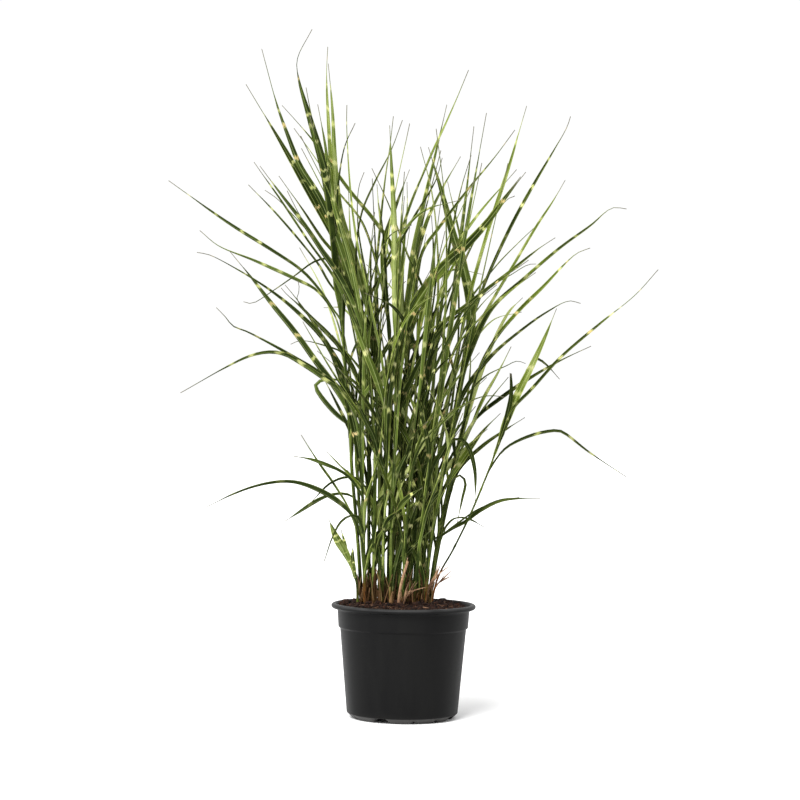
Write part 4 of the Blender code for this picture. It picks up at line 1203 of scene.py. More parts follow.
@dataclass
class Foliage:
    """A mesh of leaves and culms, with the marks that the leaf finish reads."""

    midrib: float = 0.0005
    midrib_share: float = 0.07
    sheath_banding: float = 0.4

    def __post_init__(self) -> None:
        """Starts an empty mesh."""
        self.shape = bmesh.new()
        self.marks = {name: self.shape.verts.layers.float.new(name) for name in MARKS}

    def mark(self, vertex: Vertex, values: dict[str, float]) -> None:
        """Sets a vertex's marks."""
        for name, value in values.items():
            vertex[self.marks[name]] = value

    def strip(self, stations: list[Station], columns: int, thickness: float, marks: LeafMarks) -> None:
        """Adds a closed leaf or sheath.

        Args:
            stations: the places along it.
            columns: faces across it.
            thickness: how thick it is.
            marks: what its finish reads.
        """
        rows = len(stations) - 1
        grid = bmesh.ops.create_grid(self.shape, x_segments=columns, y_segments=rows, size=1.0)["verts"]
        ridge = []
        for vertex in grid:
            side, row = vertex.co.x, round((vertex.co.y + 1) / 2 * rows)
            here = stations[row]
            angle, radius = here.curl * side, here.width / (2 * here.curl)
            vertex.co = here.centre + here.across * radius * math.sin(angle)
            risen = radius * (1 - math.cos(angle)) + here.fold * abs(side) * here.width / 2
            vertex.co -= here.below * risen
            if abs(side) < 0.01 and here.length > 0:
                ridge.append((vertex, here.below * min(self.midrib, self.midrib_share * here.width)))
            looks = marks.looks()
            if here.length <= 0:
                looks.update(sheath=1.0, banding=self.sheath_banding * marks.banding)
            tip = max(0.0, (here.share - marks.tip_from) / (1 - marks.tip_from))
            along = here.length * marks.stretch + marks.offset
            self.mark(vertex, {**looks, "across": (side + 1) / 2, "along": along, "tip": tip, "under": 1.0})
        self.shape.normal_update()
        faces = list(dict.fromkeys(face for vertex in grid for face in vertex.link_faces))
        made = bmesh.ops.solidify(self.shape, geom=faces, thickness=thickness)["geom"]
        below = set(grid)
        for item in made:
            if isinstance(item, Vertex) and item not in below:
                item[self.marks["under"]] = 0.0
        for vertex, drop in ridge:
            vertex.co += drop

    def tube(self, run: Run, radii: list[float], sides: int, marks: LeafMarks) -> None:
        """Adds a closed tube.

        Args:
            run: its axis.
            radii: its radius at each point of the axis.
            sides: faces around it.
            marks: what its finish reads.
        """
        lengths = lengths_of(run)
        grid = tube_grid(self.shape, run, radii, sides)
        for vertex, turn, row in grid:
            along = lengths[row] + marks.offset
            self.mark(vertex, {**marks.looks(), "across": turn / math.tau, "along": along})
        close_seam(self.shape, grid)
        close_ends(self.shape)


@dataclass
class Leaf:
    """One leaf: the sheath round the culm, and the blade that opens out of it."""

    growth: Growth
    culm: Run
    stem: Stem
    rng: random.Random
    run: Run
    width: float
    turn: float
    look: Spot | None = None
    drawn: float = 0.0
    stretch: float = 1.0
    columns: int = 6
    spacing: float = 0.0085
    thickness: float = 0.00042
    blade_from: float = 1e-5
    least_rows: int = 14
    most_rows: int = 60
    sheath_rows: int = 7
    sheath_lengths: Place = (0.06, 0.13)
    sheath_share: float = 0.8
    sheath_gap: float = 0.002
    sheath_curl: float = 2.7
    mouth_curl: float = 0.9
    collar_curl: float = 0.75
    collar_width: float = 0.0070
    collar_length: float = 0.035
    opened_at: float = 0.03
    off_the_culm: Place = (0.004, 0.04)
    blade_curl: float = 0.36
    tip_curl: float = 0.22
    fold: float = 0.32
    thread: float = 0.0032
    thread_curl: float = 2.5
    thread_widths: Place = (0.0012, 0.0030)
    thread_shares: Place = (0.0, 0.05)
    base_share: float = 0.45
    full_width_at: float = 0.22
    fullest: float = 1.08
    tapering: float = 2.8
    slight_turn: float = 8.0
    least_turn: Place = (22.0, 44.0)
    turned_at: Place = (-0.02, 0.08)
    twists: Place = (8.0, 28.0)
    twisted_at: Place = (0.05, 0.6)
    waves: Place = (0.5, 1.2)
    culm_share: float = 0.66
    cover: float = 0.0002

    def section(self, share: float, length: float, drawn_out: float) -> tuple[float, float, float]:
        """The blade's section at a place.

        Args:
            share: where the place is, as a share of the blade's length.
            length: how far it is from the collar.
            drawn_out: the share of the length that is drawn out to a thread.

        Returns:
            The width, the curl and the fold there.
        """
        curl = self.blade_curl + (self.tip_curl - self.blade_curl) * share
        curl += self.collar_curl * (1 - step_up(length, 0.0, self.collar_length))
        width = self.width * self.fullness(share / (1 - drawn_out))
        opened = step_up(length, 0.0, self.opened_at)
        width += max(0.0, self.collar_width - width) * (1 - opened)
        thread = 1 - step_up(width, *self.thread_widths)
        width += max(0.0, self.thread * (1 - 0.3 * share) - width) * thread
        curl += (self.thread_curl - curl) * thread
        return width, curl, self.fold * opened * (1 - thread)

    def stations(self) -> list[Station]:
        """The places along the leaf.

        Returns:
            The places, from its sheath's foot to its tip.
        """
        rng, wanted = self.rng, round(lengths_of(self.run)[-1] / self.spacing)
        rows = max(self.least_rows, min(self.most_rows, wanted))
        run = resampled(self.run, rows)
        reach = max((point.xy - run[0].xy for point in run), key=lambda flat: flat.length)
        sideways = Vector((-reach.y, reach.x, 0.0)).normalized()
        lean = rng.choice((-1, 1)) if abs(self.turn) < self.slight_turn else math.copysign(1, self.turn)
        turn = lean * max(abs(self.turn), rng.uniform(*self.least_turn))
        twist, waves, phase = rng.uniform(*self.twists), rng.uniform(*self.waves), rng.uniform(0, math.tau)
        drawn_out = self.drawn + rng.uniform(*self.thread_shares)
        blade = []
        for index, (point, length) in enumerate(zip(run, lengths_of(run))):
            share, along = index / rows, along_at(run, index)
            sway = twist * step_up(share, *self.twisted_at) * math.sin(phase + waves * math.tau * share)
            twisted = math.radians(turn * step_up(length, *self.turned_at) + sway)
            across = (sideways - along * sideways.dot(along)).normalized()
            across = Matrix.Rotation(twisted, 3, along) @ across
            below = across.cross(along)
            out = below * self.culm_radius(point.z) * (1 - step_up(length, *self.off_the_culm))
            width, curl, fold = self.section(share, length, drawn_out)
            centre, length = point + out, length + self.blade_from
            blade.append(Station(centre, along, across, below, width, curl, share, length, fold))
        return self.sheath(blade[0]) + blade

    def fullness(self, share: float) -> float:
        """The width at that share of the blade's length, as a share of its full width."""
        opening = self.base_share + (1 - self.base_share) * step_up(share, 0.0, self.full_width_at)
        return self.fullest * opening * max(0.0, 1 - share**self.tapering)

    def culm_radius(self, height: float) -> float:
        """The culm's radius at that height, with the sheath on it."""
        return self.culm_share * self.growth.stem_radius(self.stem, height, self.culm[-1].z) + self.cover

    def sheath(self, collar: Station) -> list[Station]:
        """The places along the sheath.

        Args:
            collar: the blade's first place.

        Returns:
            The places, from the sheath's foot to just under the collar.
        """
        top = min(range(len(self.culm)), key=lambda index: (self.culm[index] - self.run[0]).length)
        axis = resampled(self.culm[: max(2, top + 1)], self.most_rows)
        lengths = lengths_of(axis)
        long = min(self.rng.uniform(*self.sheath_lengths), lengths[-1] * self.sheath_share)
        made = []
        for row in range(self.sheath_rows):
            back = long * (1 - row / self.sheath_rows) + self.sheath_gap
            index = nearest(lengths, lengths[-1] - back)
            along = along_at(axis, index)
            below = (collar.below - along * collar.below.dot(along)).normalized()
            radius = self.culm_radius(axis[index].z)
            curl = self.sheath_curl - (self.mouth_curl if row == self.sheath_rows - 1 else 0.0)
            centre, width = axis[index] + below * radius, 2 * curl * radius
            made.append(Station(centre, along, along.cross(below), below, width, curl, 0.0, -back))
        return made

    def grow(self, foliage: Foliage) -> None:
        """Adds the leaf to a mesh.

        Args:
            foliage: the mesh.
        """
        rng = self.rng
        drawn = (rng.uniform(0.0, 1.0) ** 2.4, rng.uniform(0.15, 0.95), rng.uniform(0.0, 1.0) ** 1.5)
        tone, banding, soft = self.look or drawn
        marks = LeafMarks(tone + rng.uniform(-0.04, 0.04), banding, soft=soft, rust=0.5 * self.stem.rust)
        marks.offset, marks.tip_from = rng.uniform(1.0, 9.0), rng.uniform(-0.07, 0.07)
        marks.stretch = self.stretch
        foliage.strip(self.stations(), self.columns, self.thickness, marks)


@dataclass
class Shoot:
    """A leafy shoot, which stands for one node of the frame."""

    name: str
    stem: Stem
    blades: list[Blade]
    middles: list[Blade]
    fills: int
    guide: Guide
    growth: Growth
    inner: int
    stretch: float
    sides: int = 10
    rings: int = 60
    node_spacing: Place = (0.055, 0.095)
    slimness: Place = (0.46, 0.66)
    least_radius: float = 0.00125
    swelling: float = 0.0005
    swollen_length: float = 0.004
    point_length: float = 0.05
    point_share: float = 0.85
    fill_width: float = 0.66
    fill_tones: tuple[float, ...] = (0.00, 0.08, 0.18, 0.35, 0.55, 0.90)
    fill_turns: Place = (58.0, 84.0)
    inner_tones: tuple[float, ...] = (-0.05, 0.04, 0.12, 0.20, 0.60, 1.00)
    inner_lengths: Place = (0.07, 0.26)
    inner_widths: Place = (0.0044, 0.0098)
    inner_starts: Place = (0.03, 0.78)
    inner_leans: Place = (12.0, 50.0)
    inner_droop: float = 22.0
    inner_swing: float = 0.8
    inner_turn: float = 55.0
    thin_stem: float = 2.2
    husk_rows: int = 8
    husk_start: float = 0.010
    husk_girth: float = 0.76
    husk_curls: Place = (1.7, 0.12)
    husk_lengths: Place = (0.015, 0.050)
    husk_columns: int = 6
    dead_thickness: float = 0.0004
    scraps: tuple[int, ...] = (2, 3, 4, 5)
    scrap_starts: Place = (0.009, 0.014)
    scrap_lengths: Place = (0.010, 0.050)
    scrap_widths: Place = (0.0016, 0.0046)
    scrap_leans: Place = (1.0, 24.0)
    scrap_bow: float = 0.20
    scrap_twist: float = 1.2
    tidy_left: float = -0.043
    crown_foot: float = 0.048
    crown_spread: float = 0.250
    crown_top: float = 0.58

    def __post_init__(self) -> None:
        """Finds the culm's run and starts the mesh and the random draws."""
        self.run = self.guide.stem(self.stem)
        self.foliage = Foliage()
        self.rng = random.Random("fine " + self.name)

    def culm(self) -> None:
        """Adds the culm, with its joints a little swollen and its top drawn out to a point."""
        rng, axis = self.rng, resampled(self.run, self.rings)
        lengths = lengths_of(axis)
        joints = [0.02]
        while joints[-1] < lengths[-1]:
            joints.append(joints[-1] + rng.uniform(*self.node_spacing))
        radii = []
        slim = rng.uniform(*self.slimness)
        for point, length in zip(axis, lengths):
            swell = max(1 - abs(length - joint) / self.swollen_length for joint in joints)
            radius = max(self.least_radius, slim * self.growth.stem_radius(self.stem, point.z, axis[-1].z))
            radius += self.swelling * max(0.0, swell)
            drawn = step_up(length, lengths[-1] - self.point_length, lengths[-1])
            radii.append(radius * (1 - self.point_share * drawn))
        marks = LeafMarks(self.stem.tone + rng.uniform(-0.05, 0.05), 0.25 * rng.random(), sheath=1.0)
        marks.rust, marks.offset = self.stem.rust, rng.uniform(1.0, 9.0)
        self.foliage.tube(axis, radii, self.sides, marks)

    def husk(self) -> None:
        """Adds the dry basal sheath at the culm's foot, drawn out to a point that stands off a little."""
        rng, axis = self.rng, resampled(self.run[: max(3, len(self.run) // 3)], 40)
        lengths = lengths_of(axis)
        long, turn = rng.uniform(*self.husk_lengths), rng.uniform(0.0, math.tau)
        stations = []
        for row in range(self.husk_rows + 1):
            share = row / self.husk_rows
            index = nearest(lengths, self.husk_start + long * share)
            along, first, second = frame_at(axis, index)
            below = first * math.sin(turn) + second * math.cos(turn)
            radius = self.husk_girth * self.growth.stem_radius(self.stem, axis[index].z, self.run[-1].z)
            radius += 0.0003 + 0.0012 * share**3
            curl = self.husk_curls[0] * (1 - share**1.4) + self.husk_curls[1]
            section, length = (2 * curl * radius, curl), 1 + long * share
            centre = axis[index] + below * radius
            stations.append(Station(centre, along, along.cross(below), below, *section, share, length))
        marks = LeafMarks(rng.random(), sheath=1.0, dry=rng.uniform(0.75, 1.0), tip_from=-0.2)
        self.foliage.strip(stations, self.husk_columns, self.dead_thickness, marks)

    def scrap(self) -> None:
        """Adds a strip of old dead leaf that leans out from the foot, at the clump's left only inwards."""
        rng, foot = self.rng, self.run[0]
        turn, lean = rng.uniform(0.0, math.tau), math.radians(rng.uniform(*self.scrap_leans))
        out = level(turn)
        if foot.x < self.tidy_left:
            out.x = abs(out.x)
        root = foot + out * self.stem.radius * MM + UP * rng.uniform(*self.scrap_starts)
        long, wide = rng.uniform(*self.scrap_lengths), rng.uniform(*self.scrap_widths)
        bend = out.cross(UP) * rng.uniform(-self.scrap_bow, self.scrap_bow) * long
        ahead = (out * math.sin(lean) + UP * math.cos(lean)) * long
        twist = rng.uniform(-self.scrap_twist, self.scrap_twist)
        strip = Ribbon(root, ahead, bend, wide, turn, twist, taper=0.65, curl=0.5, steps=8)
        marks = LeafMarks(rng.random() ** 1.5, sheath=1.0, dry=rng.uniform(0.8, 1.0), tip_from=-0.3)
        self.foliage.strip(strip.stations(), 4, strip.thickness, marks)

    def in_crown(self, point: Vector) -> bool:
        """Whether a point is in the dense middle of the clump."""
        reach = self.crown_foot + self.crown_spread * (point.z - self.growth.foot_height)
        return point.z <= self.crown_top and point.xy.length <= reach

    def inner_ways(self) -> Iterator[Run]:
        """The runs of the short leaves that fill the middle of the clump.

        Returns:
            Runs that stay in its dense middle.
        """
        rng, run, steps = self.rng, self.run, self.growth.fill_points
        for _ in range(12 * self.inner):
            start = off_the_ends(run, int(rng.uniform(*self.inner_starts) * (len(run) - 1)))
            sideways = rng.choice((0.0, math.pi))
            heading = level(sideways + rng.uniform(-self.inner_swing, self.inner_swing))
            lean, droop = rng.uniform(*self.inner_leans), rng.uniform(0.0, self.inner_droop)
            stride = rng.uniform(*self.inner_lengths) / steps
            points = [run[start - 1], run[start]]
            for step in range(steps):
                angle = math.radians(lean * min(1.0, 0.45 + 0.4 * step) + droop * (step / steps) ** 2)
                points.append(points[-1] + (UP * math.cos(angle) + heading * math.sin(angle)) * stride)
            way = self.growth.smooth(points)[self.growth.steps :]
            if all(map(self.in_crown, way)):
                yield way

    def leaf(self, way: Run, width: float, turn: float, look: Spot, **habit: float) -> None:
        """Adds a leaf along a way. Its look is its tone, its banding and how soft its bands are."""
        Leaf(self.growth, self.run, self.stem, self.rng, way, width, turn, look, **habit).grow(self.foliage)

    def leaves(self) -> None:
        """Adds the leaves of the tables: the frame's own blades, and those of the clump's middle.

        Raises:
            ValueError: where the frame's solid has no such blade.
        """
        ways = [self.guide.blade(self.growth.ways(self.run, blade)) for blade in self.blades]
        if None in ways:
            raise ValueError(f"{self.name} has no blade to {self.blades[ways.index(None)].seen[-1]}")
        ways += [self.growth.blade_run(self.run, blade, blade.depth * MM) for blade in self.middles]
        for blade, way in zip([*self.blades, *self.middles], ways):
            look = (blade.tone, blade.banding, blade.soft)
            self.leaf(way, blade.width * MM, blade.turn, look, drawn=blade.drawn, stretch=self.stretch)

    def fill(self) -> None:
        """Adds the leaves of the front and the back, where the frame's draws put them."""
        rng, draws = self.rng, random.Random(f"{self.growth.seed} {self.name}")
        for _ in range(self.fills):
            width, turn = draws.uniform(*self.growth.fill_widths), draws.uniform(-25.0, 25.0)
            way = self.guide.blade(self.growth.fill_ways(self.run, draws))
            if way:
                look = (rng.choice(self.fill_tones), rng.uniform(0.2, 0.8), 0.6 * rng.random())
                turn = math.copysign(rng.uniform(*self.fill_turns), turn)
                self.leaf(way, self.fill_width * width, turn, look)

    def thicken(self) -> None:
        """Adds the short leaves of the clump's middle, on all but the thinnest culm."""
        rng, count = self.rng, self.inner if self.stem.radius > self.thin_stem else 0
        for way, _ in zip(self.inner_ways(), range(count)):
            look = (rng.choice(self.inner_tones), rng.uniform(0.1, 0.9), 0.7 * rng.random())
            width, turn = rng.uniform(*self.inner_widths), rng.uniform(-70, 70)
            self.leaf(way, width, math.copysign(max(abs(turn), self.inner_turn), turn), look)

    def build(self, finish: Material) -> Object:
        """Builds the shoot's piece.

        Args:
            finish: the leaf material.

        Returns:
            The dressed piece.
        """
        self.culm()
        if self.rng.random() < 0.3 + 0.5 * self.stem.rust:
            self.husk()
        for _ in range(self.rng.choice(self.scraps) + round(5 * self.stem.rust)):
            self.scrap()
        self.leaves()
        self.fill()
        self.thicken()
        shape = self.foliage.shape
        bmesh.ops.recalc_face_normals(shape, faces=shape.faces)
        return dressed(as_object(f"leafy_{self.name}", shape, finish), Slot.LEAF, self.name)


@dataclass
class DryStalk:
    """A dead hollow stalk with a torn top, which stands for one node of the frame."""

    name: str
    stem: Stem
    guide: Guide
    growth: Growth
    sides: int = 14
    rows: int = 16
    wall: float = 0.00045
    tear: float = 0.0045
    fluting: float = 0.12
    shreds: int = 2
    torn_shreds: int = 7
    shred_lengths: Place = (0.009, 0.021)
    shred_widths: Place = (0.0014, 0.0032)
    shred_leans: Place = (4.0, 26.0)
    shred_bend: float = 0.25
    torn_longer: float = 0.7

    def __post_init__(self) -> None:
        """Finds the stalk's axis and starts the mesh and the random draws."""
        self.axis = resampled(self.guide.stem(self.stem), self.rows)
        self.foliage = Foliage()
        self.rng = random.Random("fine " + self.name)

    def shred(self) -> None:
        """Adds a torn strip that has come away from the stalk."""
        rng, index = self.rng, self.rng.randrange(self.rows // 3, self.rows)
        along, first, second = frame_at(self.axis, index)
        turn, lean = rng.uniform(0.0, math.tau), math.radians(rng.uniform(*self.shred_leans))
        out = first * math.sin(turn) + second * math.cos(turn)
        long = rng.uniform(*self.shred_lengths) * (1 + self.torn_longer * self.stem.rust)
        wide = rng.uniform(*self.shred_widths)
        bend = first * rng.uniform(-self.shred_bend, self.shred_bend) * long
        ahead = (along * math.cos(lean) + out * math.sin(lean)) * long
        strip = Ribbon(self.axis[index], ahead, bend, wide, turn, twist=0.0, taper=0.7, curl=0.6, steps=6)
        self.foliage.strip(strip.stations(), 2, strip.thickness, LeafMarks(0.5))

    def build(self, finish: Material) -> Object:
        """Builds the stalk's piece.

        Args:
            finish: the straw material.

        Returns:
            The dressed piece.
        """
        axis, shape = self.axis, self.foliage.shape
        radii = [self.growth.stem_radius(self.stem, point.z, axis[-1].z) for point in axis]
        grid = tube_grid(shape, axis, radii, self.sides)
        up = along_at(axis, self.rows)
        for vertex, turn, row in grid:
            frayed = noise.noise(level(turn) * 3 + UP * (self.rng.random() + row))
            if row == self.rows:
                vertex.co -= up * self.tear * (0.5 + frayed)
            flute = noise.noise(level(turn) * 2 + UP * 9)
            vertex.co += (vertex.co - axis[row]).normalized() * self.fluting * radii[row] * flute
        close_seam(shape, grid)
        bmesh.ops.recalc_face_normals(shape, faces=shape.faces)
        bmesh.ops.solidify(shape, geom=list(shape.faces), thickness=min(self.wall, 0.4 * radii[-1]))
        for _ in range(self.shreds + round(self.torn_shreds * self.stem.rust)):
            self.shred()
        return dressed(as_object(f"torn_{self.name}", shape, finish), Slot.STRAW, self.name)


# -------- the pot and the peat


def softened(points: list[Place], radius: float) -> list[Place]:
    """An outline with rounded inner corners.

    Args:
        points: the outline.
        radius: about how round a corner becomes.

    Returns:
        The outline, with four points for every corner.
    """
    made = [points[0]]
    for before, corner, after in zip(points, points[1:], points[2:]):
        here, back, ahead = Vector(corner), Vector(before), Vector(after)
        start = here.lerp(back, min(0.45, radius / (back - here).length))
        end = here.lerp(ahead, min(0.45, radius / (ahead - here).length))
        for share in (0.0, 0.33, 0.67, 1.0):
            made.append(tuple(start.lerp(here, share).lerp(here.lerp(end, share), share)))
    return [*made, points[-1]]


@dataclass
class NurseryPot:
    """The round black pot, turned in one piece: rolled lip, collar, tapered wall and scalloped foot."""

    turn_steps: int = 144
    wall: float = 0.0020
    height: float = 0.1496
    boss_radius: float = 0.020
    foot_inner: float = 0.058
    foot_outer: float = 0.065
    foot_height: float = 0.0065
    bevel: Place = (0.0730, 0.0070)
    step: Place = (0.0829, 0.1170)
    collar: Place = (0.0853, 0.1190)
    collar_top: Place = (0.0868, 0.1415)
    lip_radius: float = 0.0950
    lip_inner: float = 0.0880
    lip_thickness: float = 0.0064
    floor: float = 0.0085
    inner_softness: float = 0.0012
    outer_softness: float = 0.0008
    notches: tuple[float, ...] = (-114.0, -20.0, 66.0, 160.0)
    notch_swing: float = 11.0
    nicks: tuple[float, ...] = (-77.0, -49.0, 20.0, 110.0, -150.0)
    nick_swing: float = 2.6
    nick_depth: float = 0.45

    def inside(self) -> list[Place]:
        """The inside.

        Returns:
            Radius and height at each corner, from the floor up to the lip.
        """
        corners = [(self.bevel[0], self.floor), (self.step[0], self.step[1] + self.wall / 2)]
        corners += [(self.collar[0], self.collar[1] + self.wall / 2), self.collar_top]
        return [(radius - self.wall, height) for radius, height in corners]

    def lip_root(self) -> Place:
        """Where the inside meets the rolled lip."""
        return self.lip_inner - 0.0006, self.height - self.lip_thickness / 2 - 0.001

    def lip(self) -> list[Place]:
        """The rolled lip.

        Returns:
            Its outline, from its inner side over the top and down its outer side.
        """
        middle, bend = self.height - self.lip_thickness / 2, self.lip_thickness / 2
        inner, outer = self.lip_inner + 0.6 * bend, self.lip_radius - bend
        made = [self.lip_root()]
        bends = ((inner, 0.6 * bend, range(160, 90, -14)), (outer, bend, range(88, -82, -12)))
        for centre, reach, turns in bends:
            for angle in map(math.radians, turns):
                made.append((centre + reach * math.cos(angle), middle + bend * math.sin(angle)))
        return made

    def outline(self) -> list[Place]:
        """The whole outline.

        Returns:
            The outline, from the middle of the floor to the middle of the underside.
        """
        top, lip = self.collar_top, self.lip()
        inner = softened([(0.0, self.floor), *self.inside(), lip[0]], self.inner_softness)
        outer = [lip[-1], (top[0] + 0.001, top[1] + 0.001), (top[0], top[1] - 0.001), self.collar, self.step]
        outer += [self.bevel, (self.foot_outer, 0.0), (self.foot_inner, 0.0)]
        outer += [(self.foot_inner - 0.001, self.foot_height), (self.boss_radius + 0.001, self.foot_height)]
        outer += [(self.boss_radius, 0.0), (0.0, 0.0)]
        return inner[:-1] + lip[:-1] + softened(outer, self.outer_softness)

    def scallop(self, degrees: float) -> float:
        """How far the foot is cut away.

        Args:
            degrees: the direction, round from +X.

        Returns:
            The share of the foot's height that is cut away there.
        """
        cut = 0.0
        cuts = ((self.notches, self.notch_swing, 1.0), (self.nicks, self.nick_swing, self.nick_depth))
        for middles, swing, depth in cuts:
            for middle in middles:
                away = abs((degrees - middle + 180) % 360 - 180)
                cut = max(cut, depth * (1 - step_up(away, 0.45 * swing, swing)))
        return cut

    def build(self, finish: Material) -> Object:
        """Builds the pot.

        Args:
            finish: the plastic.

        Returns:
            The dressed piece.
        """
        shape = bmesh.new()
        line = [shape.verts.new((radius, 0.0, height)) for radius, height in self.outline()]
        edges = [shape.edges.new(pair) for pair in zip(line, line[1:])]
        turn = {"cent": (0, 0, 0), "axis": (0, 0, 1), "angle": math.tau, "steps": self.turn_steps}
        bmesh.ops.spin(shape, geom=line + edges, use_merge=True, **turn)
        bmesh.ops.remove_doubles(shape, verts=shape.verts, dist=1e-6)
        for vertex in shape.verts:
            radius = vertex.co.xy.length
            if self.foot_inner - 0.0012 < radius < self.bevel[0] and vertex.co.z < self.foot_height:
                cut = self.scallop(math.degrees(math.atan2(vertex.co.y, vertex.co.x)))
                vertex.co.z += (self.foot_height - vertex.co.z) * cut
        bmesh.ops.recalc_face_normals(shape, faces=shape.faces)
        return dressed(as_object("moulded_pot", shape, finish), Slot.POT, "pot")


@dataclass
class PeatBed:
    """The peat in the pot: its mounded surface, with crumbs, fibres and bits of old straw on it."""

    pot: NurseryPot
    feet: list[Vector]
    surface: tuple[Place, ...] = ((0.0, 0.1520), (0.026, 0.1512), (0.050, 0.1488), (0.068, 0.1462))
    edge_height: float = 0.1450
    gap: float = 0.0003
    cells: int = 130
    calm_edge: float = 0.010
    clods: tuple[Place, Place, Place] = ((60, 0.0013), (210, 0.0016), (520, 0.0009))
    heap_width: float = 0.006
    heap_height: float = 0.0016
    crumbs: int = 900
    crumb_sizes: Place = (0.0008, 0.0030)
    fine_crumb: float = 0.003
    fibres: int = 420
    fibre_radii: Place = (0.00012, 0.0003)
    fibre_lengths: Place = (0.003, 0.010)
    fibre_lift: float = 0.0009
    crumb_reach: float = 0.955
    fibre_reach: float = 0.90
    straw_reach: float = 0.95
    lumps: tuple[Spot, ...] = (
        (-0.078, 0.008, 0.0054), (-0.073, 0.020, 0.0046), (-0.067, -0.040, 0.0045), (-0.079, -0.008, 0.0036),
        (-0.060, -0.052, 0.0040), (0.070, -0.040, 0.0035), (0.036, -0.060, 0.0042),
        (-0.030, -0.066, 0.0040), (0.010, -0.070, 0.0034), (0.052, 0.050, 0.0050), (-0.048, 0.058, 0.0046),
    )
    straws: tuple[tuple[Place, Place, float], ...] = (
        ((0.015, -0.052), (0.034, -0.056), 0.0009), ((-0.066, -0.010), (-0.052, -0.030), 0.0008),
        ((0.050, -0.030), (0.066, -0.012), 0.0007), ((-0.020, 0.060), (0.006, 0.068), 0.0009),
        ((-0.020, -0.050), (-0.038, -0.058), 0.0006), ((0.040, 0.040), (0.062, 0.034), 0.0008),
    )

    def edge(self) -> float:
        """The radius of the surface, where it meets the pot.

        Returns:
            The radius.
        """
        lower, upper = self.pot.inside()[-1], self.pot.lip_root()
        rise = (self.edge_height - lower[1]) / (upper[1] - lower[1])
        return lower[0] + (upper[0] - lower[0]) * rise - self.gap

    def height(self, x: float, y: float) -> float:
        """The height of the surface, with its clods and the small heaps round the culms.

        Args:
            x: the place, from left to right.
            y: the place, from front to back.

        Returns:
            The height.
        """
        radius, bare = math.hypot(x, y), self.edge_height
        line = [*self.surface, (self.edge(), self.edge_height)]
        for (near, high), (far, low) in zip(line, line[1:]):
            if near <= radius <= far:
                bare = high + (low - high) * (radius - near) / (far - near)
        place = Vector((x, y, bare))
        calm = 1 - step_up(radius, self.edge() - self.calm_edge, self.edge())
        broad, lumpy, fine = (high * noise.noise(place * scale) for scale, high in self.clods)
        rough = broad + abs(lumpy) + fine
        heap = max(math.exp(-(((place.xy - foot).length / self.heap_width) ** 2)) for foot in self.feet)
        return bare + rough * (0.25 + 0.75 * calm) + self.heap_height * heap

    def bed(self, finish: Material) -> Object:
        """Builds the bed: a disc of fine cells, closed by the pot's walls and floor.

        Args:
            finish: the peat material.

        Returns:
            The dressed piece.
        """
        shape = bmesh.new()
        bmesh.ops.create_grid(shape, x_segments=self.cells, y_segments=self.cells, size=1.0)
        for vertex in shape.verts:
            x, y, _ = vertex.co
            x, y = x * math.sqrt(1 - y * y / 2) * self.edge(), y * math.sqrt(1 - x * x / 2) * self.edge()
            vertex.co = (x, y, self.height(x, y))
        walls = self.pot.inside()
        for radius, height in (walls[3], walls[1], walls[0]):
            rim = [edge for edge in shape.edges if edge.is_boundary]
            grown = bmesh.ops.extrude_edge_only(shape, edges=rim)["geom"]
            for vertex in (item for item in grown if isinstance(item, Vertex)):
                vertex.co = (*(vertex.co.xy.normalized() * (radius - self.gap)), height + self.gap)
        close_ends(shape)
        bmesh.ops.recalc_face_normals(shape, faces=shape.faces)
        return dressed(as_object("moist_peat_bed", shape, finish), Slot.PEAT, "soil")

    def spot(self, rng: random.Random, reach: float) -> Place:
        """A random place on the surface, out to that share of its radius."""
        radius, turn = self.edge() * reach * math.sqrt(rng.random()), rng.uniform(0, math.tau)
        return radius * math.cos(turn), radius * math.sin(turn)

    def crumble(self, finish: Material) -> Object:
        """Builds the crumbs and lumps that lie on the bed.

        Args:
            finish: the peat material.

        Returns:
            The dressed piece.
        """
        rng, shape = random.Random("crumbs"), bmesh.new()
        least, more = self.crumb_sizes
        sizes = []
        for _ in range(self.crumbs):
            sizes.append((*self.spot(rng, self.crumb_reach), least + more * rng.random() ** 3))
        for x, y, size in [*sizes, *self.lumps]:
            detail = 1 if size < self.fine_crumb else 2
            made = bmesh.ops.create_icosphere(shape, subdivisions=detail, radius=size)["verts"]
            stretch = Vector([rng.uniform(0.7, 1.4) for _ in range(3)])
            centre = Vector((x, y, self.height(x, y) + 0.35 * size))
            for vertex in made:
                vertex.co *= 1 + 0.55 * noise.noise(vertex.co / size + centre * 900)
                vertex.co = centre + vertex.co * stretch
        return dressed(as_object("peat_crumbs", shape, finish, smooth=False), Slot.PEAT)

